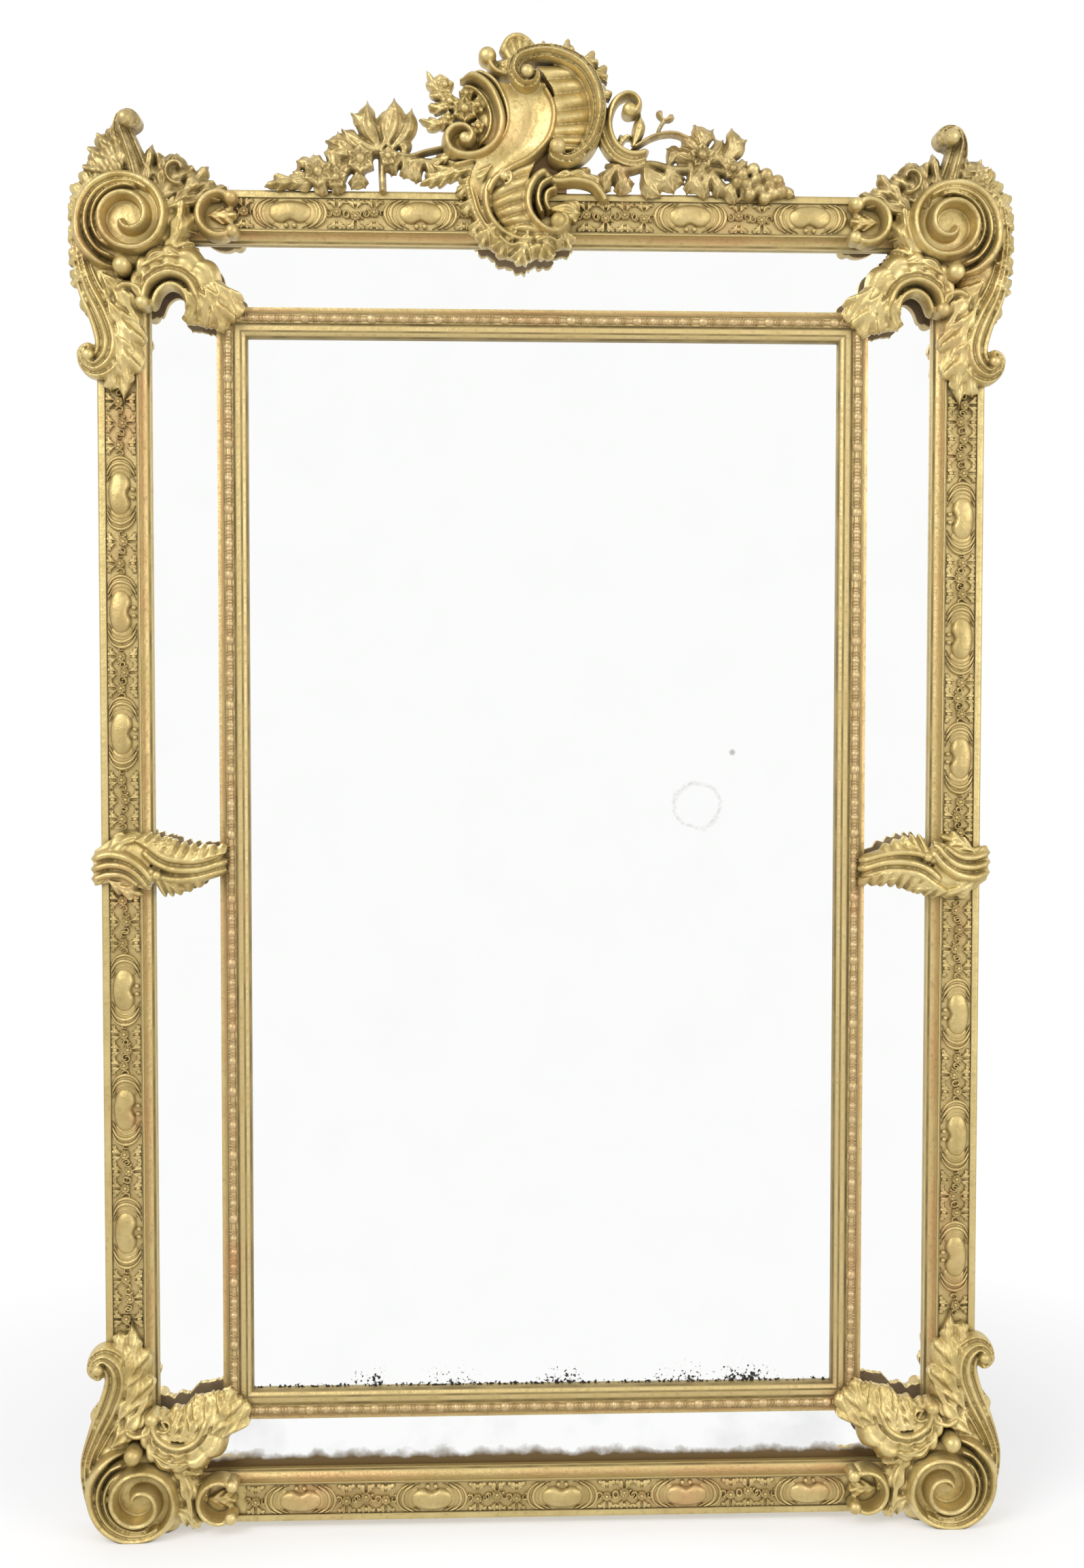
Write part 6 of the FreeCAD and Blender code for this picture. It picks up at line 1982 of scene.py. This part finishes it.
@dataclass
class BeadStrip:
    """Bead and reel along one side of the inner frame.

    Attributes:
        node: The solid that it stands for.
        run: Which way it runs.
        finish: Its gilding.
        pearl: Radius of a pearl.
        pitch: Length of the repeat.
        bead_shares: Place along the repeat, half length and radius of each bead, in pearl's radii.
        start_share: Place of the first pearl, in pearl's radii.
        segments: Sides of a bead.
        rings: Rings of a bead.
        crisp_degrees: Angle from which an edge stays crisp.
    """

    node: str
    run: Run
    finish: Material
    pearl: float = 6 * MM
    pitch: float = 73 * MM
    bead_shares: tuple[Place, ...] = (
        (6.05, 9.0, 0.68), (0.0, 1.15, 0.98), (1.55, 0.22, 0.9), (2.15, 0.22, 0.9), (3.2, 0.75, 0.84),
        (4.2, 0.22, 0.9), (4.8, 0.22, 0.9), (6.05, 1.0, 0.88), (7.3, 0.22, 0.9), (7.9, 0.22, 0.9),
        (8.95, 0.75, 0.84), (10.0, 0.22, 0.9), (10.6, 0.22, 0.9))
    start_share: float = 1.2
    segments: int = 10
    rings: int = 8
    crisp_degrees: float = 60

    def bead(self, along: float, half: float, radius: float) -> Piece:
        """One bead of the repeat, drawn out along the strip and cut off at the seat.

        Args:
            along: Its place along the repeat, in pearl's radii.
            half: Half its length.
            radius: Its radius.

        Returns:
            The bead.
        """
        bpy.ops.object.select_all(action="DESELECT")
        bpy.ops.mesh.primitive_uv_sphere_add(
            segments=self.segments, ring_count=self.rings, radius=self.pearl * radius,
            location=(0, 0, 0), rotation=(0, math.pi / 2, 0))
        piece = bpy.context.object
        piece.scale = (1, 1, half / radius)
        piece.location = (self.pearl * along, 0, 0)
        bpy.ops.object.transform_apply(location=True, rotation=True, scale=True)
        bpy.ops.object.mode_set(mode="EDIT")
        bpy.ops.mesh.select_all(action="SELECT")
        bpy.ops.mesh.bisect(plane_co=(0, 0, 0), plane_no=(0, 1, 0), use_fill=True, clear_outer=True)
        bpy.ops.object.mode_set(mode="OBJECT")
        return piece

    def repeats(self, length: float) -> Piece:
        """Model the repeat once and set it along a length.

        Args:
            length: Length of the strip.

        Returns:
            The strip, from the origin along the first axis.
        """
        beads = [self.bead(*shares) for shares in self.bead_shares]
        pick(beads[0])
        for piece in beads:
            piece.select_set(True)
        bpy.ops.object.join()
        strip = bpy.context.object
        count = max(1, int(length / self.pitch))
        array = strip.modifiers.new("run", "ARRAY")
        array.use_relative_offset = False
        array.use_constant_offset = True
        array.constant_offset_displace = (length / count, 0, 0)
        array.count = count
        bpy.ops.object.modifier_apply(modifier=array.name)
        stretch = Matrix.Diagonal((length / count / self.pitch, 1, 1, 1))
        strip.data.transform(Matrix.Translation((self.pearl * self.start_share, 0, 0)) @ stretch)
        return strip

    def build(self) -> None:
        """Lay the beads on their seat and dress them."""
        low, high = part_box(self.node)
        middle = (low + high) / 2
        if self.run is Run.ACROSS:
            strip = self.repeats(high.x - low.x)
            lay = Matrix.Translation((low.x, high.y, middle.z))
        else:
            strip = self.repeats(high.z - low.z)
            upright = Euler((0, -math.pi / 2, 0)).to_matrix().to_4x4()
            lay = Matrix.Translation((middle.x, high.y, low.z)) @ upright
        strip.name = strip.data.name = "beaded_" + self.node
        strip.data.transform(lay)
        for vertex in strip.data.vertices:
            vertex.co = Vector(min(max(vertex.co[axis], low[axis]), high[axis]) for axis in range(3))
        bpy.ops.object.shade_smooth_by_angle(angle=math.radians(self.crisp_degrees))
        self.dress(strip)

    def dress(self, piece: Piece) -> None:
        """Give the strip its gilding and let it stand for its solid."""
        settle(piece, self.finish, "gilt_composition", self.node)


@dataclass
class CarriedSolids:
    """Solids whose shape is right as it is, given their finishes."""

    finishes: dict[str, Material]

    def dress(self) -> None:
        """Dress each solid with the finish of the longest name that its own starts with."""
        for node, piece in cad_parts.items():
            if piece.hide_render:
                continue
            names = [name for name in self.finishes if node.startswith(name)]
            dress(piece, self.finishes[max(names, key=len)])
            LOG.info("%s: carried, %s", node, piece.data.materials[0].name)


@dataclass(frozen=True)
class Lamp:
    """Soft square lamp.

    Attributes:
        name: Its name.
        place: Where it hangs.
        size: Length of its sides.
        power: Its power in watts.
    """

    name: str
    place: Place
    size: float
    power: float


@dataclass
class Studio:
    """Pale floor, soft light and the photograph's camera.

    Attributes:
        camera_place: Where the photograph was taken from.
        camera_yaw: How far the camera is turned to the right, in radians.
        camera_pitch: How far it looks down.
        camera_roll: How far it is tilted.
        focal_pixels: Focal length in pixels of the photograph.
        image_height: Height of the photograph in pixels.
        sensor: Longer side of the camera's sensor in millimetres.
        floor_half: Half the floor's side.
        floor_colour: Colour of the floor.
        floor_reach: Distance from the middle up to which the floor takes the shadow.
        floor_fade_share: How much further off it is plain white.
        floor_lift: How white it is near the mirror, whatever the light.
        floor_roughness: Roughness of the floor.
        ambient: Strength of the world as a light.
        lamps: The lamps.
        aim: What the lamps point at.
    """

    camera_place: Place = (-0.103, -2.380, 1.051)
    camera_yaw: float = 0.0415
    camera_pitch: float = 0.0427
    camera_roll: float = -0.0006
    focal_pixels: float = 2800
    image_height: float = 2308
    sensor: float = 36
    floor_half: float = 12
    floor_colour: Colour = (0.95, 0.95, 0.96)
    floor_reach: float = 0.75
    floor_fade_share: float = 1.8
    floor_lift: float = 0.4
    floor_roughness: float = 0.9
    ambient: float = 0.72
    lamps: tuple[Lamp, ...] = (
        Lamp("key", (-2.2, -2.6, 3.0), size=2.2, power=80),
        Lamp("fill", (2.6, -2.4, 1.8), size=2.4, power=44),
    )
    aim: Place = (0, 0, 0.95)

    def build(self) -> None:
        """Set the camera, the lamps, the floor and the world."""
        self.set_camera()
        for lamp in self.lamps:
            self.add_lamp(lamp)
        self.add_floor()
        self.set_world()
        bpy.context.scene.view_settings.view_transform = "Standard"

    def set_camera(self) -> None:
        """Camera where the photograph was taken from."""
        data = bpy.data.cameras.new("photo_camera")
        data.sensor_width = self.sensor
        data.lens = self.focal_pixels / self.image_height * self.sensor
        camera = bpy.data.objects.new("photo_camera", data)
        bpy.context.scene.collection.objects.link(camera)
        camera.location = self.camera_place
        camera.rotation_euler = (math.pi / 2 - self.camera_pitch, self.camera_roll, -self.camera_yaw)
        bpy.context.scene.camera = camera

    def add_lamp(self, lamp: Lamp) -> None:
        """Hang a lamp and aim it at the mirror.

        Args:
            lamp: The lamp.
        """
        data = bpy.data.lights.new(lamp.name, "AREA")
        data.size = lamp.size
        data.energy = lamp.power
        light = bpy.data.objects.new(lamp.name, data)
        bpy.context.scene.collection.objects.link(light)
        light.location = lamp.place
        light.rotation_euler = (Vector(self.aim) - Vector(lamp.place)).to_track_quat("-Z", "Y").to_euler()

    def add_floor(self) -> None:
        """Floor that takes the shadow near the mirror and turns plain white further off."""
        bpy.ops.object.select_all(action="DESELECT")
        bpy.ops.mesh.primitive_plane_add(size=2 * self.floor_half, location=(0, 0, 0))
        floor = bpy.context.object
        floor.name = "studio_floor"
        shader = Shader("studio_floor")
        far = shader.add("ShaderNodeVectorMath", {0: shader.place()}, operation="LENGTH").outputs["Value"]
        fade = (self.floor_reach, self.floor_reach * self.floor_fade_share)
        away = shader.span(far, fade, (self.floor_lift, 1))
        rays = shader.add("ShaderNodeLightPath").outputs
        seen = shader.most(rays["Is Camera Ray"], rays["Is Glossy Ray"])
        paint = {"Base Color": opaque(self.floor_colour), "Roughness": self.floor_roughness}
        shader.set(shader.surface, paint)
        white = shader.add("ShaderNodeEmission", {"Color": opaque(WHITE), "Strength": 1.0})
        plain = shader.most(shader.times(away, seen), rays["Is Glossy Ray"])
        shaders = {0: plain, 1: shader.surface.outputs[0], 2: white.outputs[0]}
        mixed = shader.add("ShaderNodeMixShader", shaders)
        shader.set(shader.tree.nodes["Material Output"], {"Surface": mixed.outputs[0]})
        dress(floor, shader.material)

    def set_world(self) -> None:
        """World that is white where it is seen or mirrored, and softer as a light."""
        world = bpy.data.worlds.new("studio_world")
        world.use_nodes = True
        bpy.context.scene.world = world
        nodes = Nodes(world.node_tree)
        rays = nodes.add("ShaderNodeLightPath").outputs
        seen = nodes.most(rays["Is Camera Ray"], rays["Is Glossy Ray"])
        seen = nodes.most(seen, rays["Is Transmission Ray"])
        strength = nodes.span(seen, (0, 1), (self.ambient, 1))
        nodes.set(nodes.tree.nodes["Background"], {"Color": opaque(WHITE), "Strength": strength})


def build_ornaments() -> None:
    """Build the carved ornaments: corners, clasps and crest."""
    corners = (("top_left", -1, 1), ("top_right", 1, 1), ("bottom_left", -1, -1), ("bottom_right", 1, -1))
    leaf = GiltFinish("gilt_carving").material()
    # Darker gilding with dust and deeper painted shade, for the finials and garlands high on the frame.
    dusty_and_shaded = GiltFinish(
        "gilt_dusty_and_shaded", pale=(0.66, 0.52, 0.24), deep=(0.26, 0.18, 0.06), worn=0.4, hollow_shade_reach=14 * MM,
        cloud_scale=55, speckled=0.5).material()
    for name, side, level in corners:
        CornerOrnament(name, side, level, finish=leaf, dusty_and_shaded_finish=dusty_and_shaded).build()
    for name, side in (("left", -1), ("right", 1)):
        MidClasp(name, side, finish=leaf).build()
    Crest(finish=leaf, dusty_and_shaded_finish=dusty_and_shaded).build()


def build_strips() -> None:
    """Build the pressed friezes of the outer frame and the bead strips of the inner one."""
    friezes = (
        ("top_left", Run.ACROSS, -1, (0.18, 0.77), (0.5, 0.0)),
        ("top_right", Run.ACROSS, -1, (0.35, 0.88), (1.15, 0.5)),
        ("bottom", Run.ACROSS, 1, (0.09, 0.31, 0.53, 0.74, 0.95), (0.0, 0.0)),
        ("left_upper", Run.UP, 1, (0.23, 0.52, 0.80), (0.0, 0.6)),
        ("left_lower", Run.UP, 1, (0.20, 0.50, 0.79), (0.5, 0.45)),
        ("right_upper", Run.UP, -1, (0.17, 0.46, 0.75), (0.45, 0.6)),
        ("right_lower", Run.UP, -1, (0.12, 0.42, 0.72), (0.5, 0.0)),
    )
    bead_runs = (("left", Run.UP), ("right", Run.UP), ("top", Run.ACROSS), ("bottom", Run.ACROSS))
    # Frieze gilding: darker towards the wall, with short painted shade in the hollows.
    pressed = GiltFinish(
        "gilt_pressed", pale=(0.62, 0.48, 0.21), deep=(0.40, 0.295, 0.11), dirt_and_shade=(0.20, 0.14, 0.05), worn=0.6,
        darkening=(5 * MM, 13 * MM), hollow_shade_reach=3 * MM).material()
    # Bead gilding: lighter dirt and shorter painted shade in the gaps between the beads.
    beads = GiltFinish(
        "gilt_beads", pale=(0.58, 0.43, 0.22), deep=(0.44, 0.31, 0.14), dirt_and_shade=(0.30, 0.20, 0.08), worn=0.9,
        hollow_shade_reach=2 * MM, speckled=0.5).material()
    for name, run, glass, boss_shares, lead_shares in friezes:
        Frieze("frieze_" + name, run, glass, boss_shares, pressed, lead_shares).build()
    for name, run in bead_runs:
        BeadStrip("bead_strip_" + name, run, beads).build()


def moulding_finishes() -> tuple[Material, Material]:
    """Gilding of the two frames' mouldings, with lines of dirt and painted shade and of rubbing along them.

    Returns:
        The finishes of the outer and of the inner frame.
    """
    outer = GiltFinish(
        "gilt_moulding", pale=(0.62, 0.49, 0.215), deep=(0.41, 0.305, 0.112), worn=0.3,
        outline=(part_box("stile_left")[0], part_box("stile_right")[1]),
        dirt_and_shade_lines=((10 * MM, 1.5 * MM), (48.5 * MM, 2 * MM), (61.5 * MM, 2.5 * MM)),
        rubs=((55 * MM, 5 * MM),))
    inner = GiltFinish(
        "gilt_inner_moulding", pale=(0.62, 0.48, 0.22), deep=(0.41, 0.30, 0.112), worn=0.3,
        outline=(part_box("inner_stile_left")[0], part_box("inner_stile_right")[1]),
        dirt_and_shade_lines=((9 * MM, 2 * MM), (22 * MM, 2.5 * MM), (30.5 * MM, 2 * MM), (37 * MM, 2 * MM)),
        rubs=((5 * MM, 4 * MM),))
    return outer.material(), inner.material()


def mirror_finishes() -> dict[str, Material]:
    """Silvering of the plates, by the start of their names."""
    centre_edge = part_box("inner_rail_bottom")[1].z
    lower_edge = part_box("rail_bottom")[1].z
    plates = {
        "border_plate": MirrorFinish("border_mirror", edge=0.0),
        "centre_plate": MirrorFinish(
            "centre_mirror", edge=centre_edge, ring=(0.195, 0.92, 29 * MM),
            clusters=((-0.225, 0.03), (-0.116, 0.045), (0.023, 0.036), (0.176, 0.04), (0.255, 0.052))),
        "border_plate_bottom": MirrorFinish("lower_mirror", edge=lower_edge, band=15 * MM, haze=0.12),
    }
    return {name: finish.material() for name, finish in plates.items()}


def main() -> None:
    """Build every piece in order."""
    boards = 6
    logging.basicConfig(level=logging.INFO, format="%(message)s")
    build_ornaments()
    build_strips()
    outer, inner = moulding_finishes()
    iron = IronFinish().material()
    low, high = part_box("back_boards")
    pine = PineFinish("bare_pine", low=low.z, step=(high.z - low.z) / boards).material()
    CarriedSolids({
        "stile": outer, "rail": outer, "inner": inner,
        **mirror_finishes(),
        "back_boards": pine, "crest_batten": pine,
        "board_screws": iron, "inner_frame_screws": iron, "corner_iron": iron, "hanger": iron,
    }).dress()
    Studio().build()


if __name__ == "__main__":
    main()
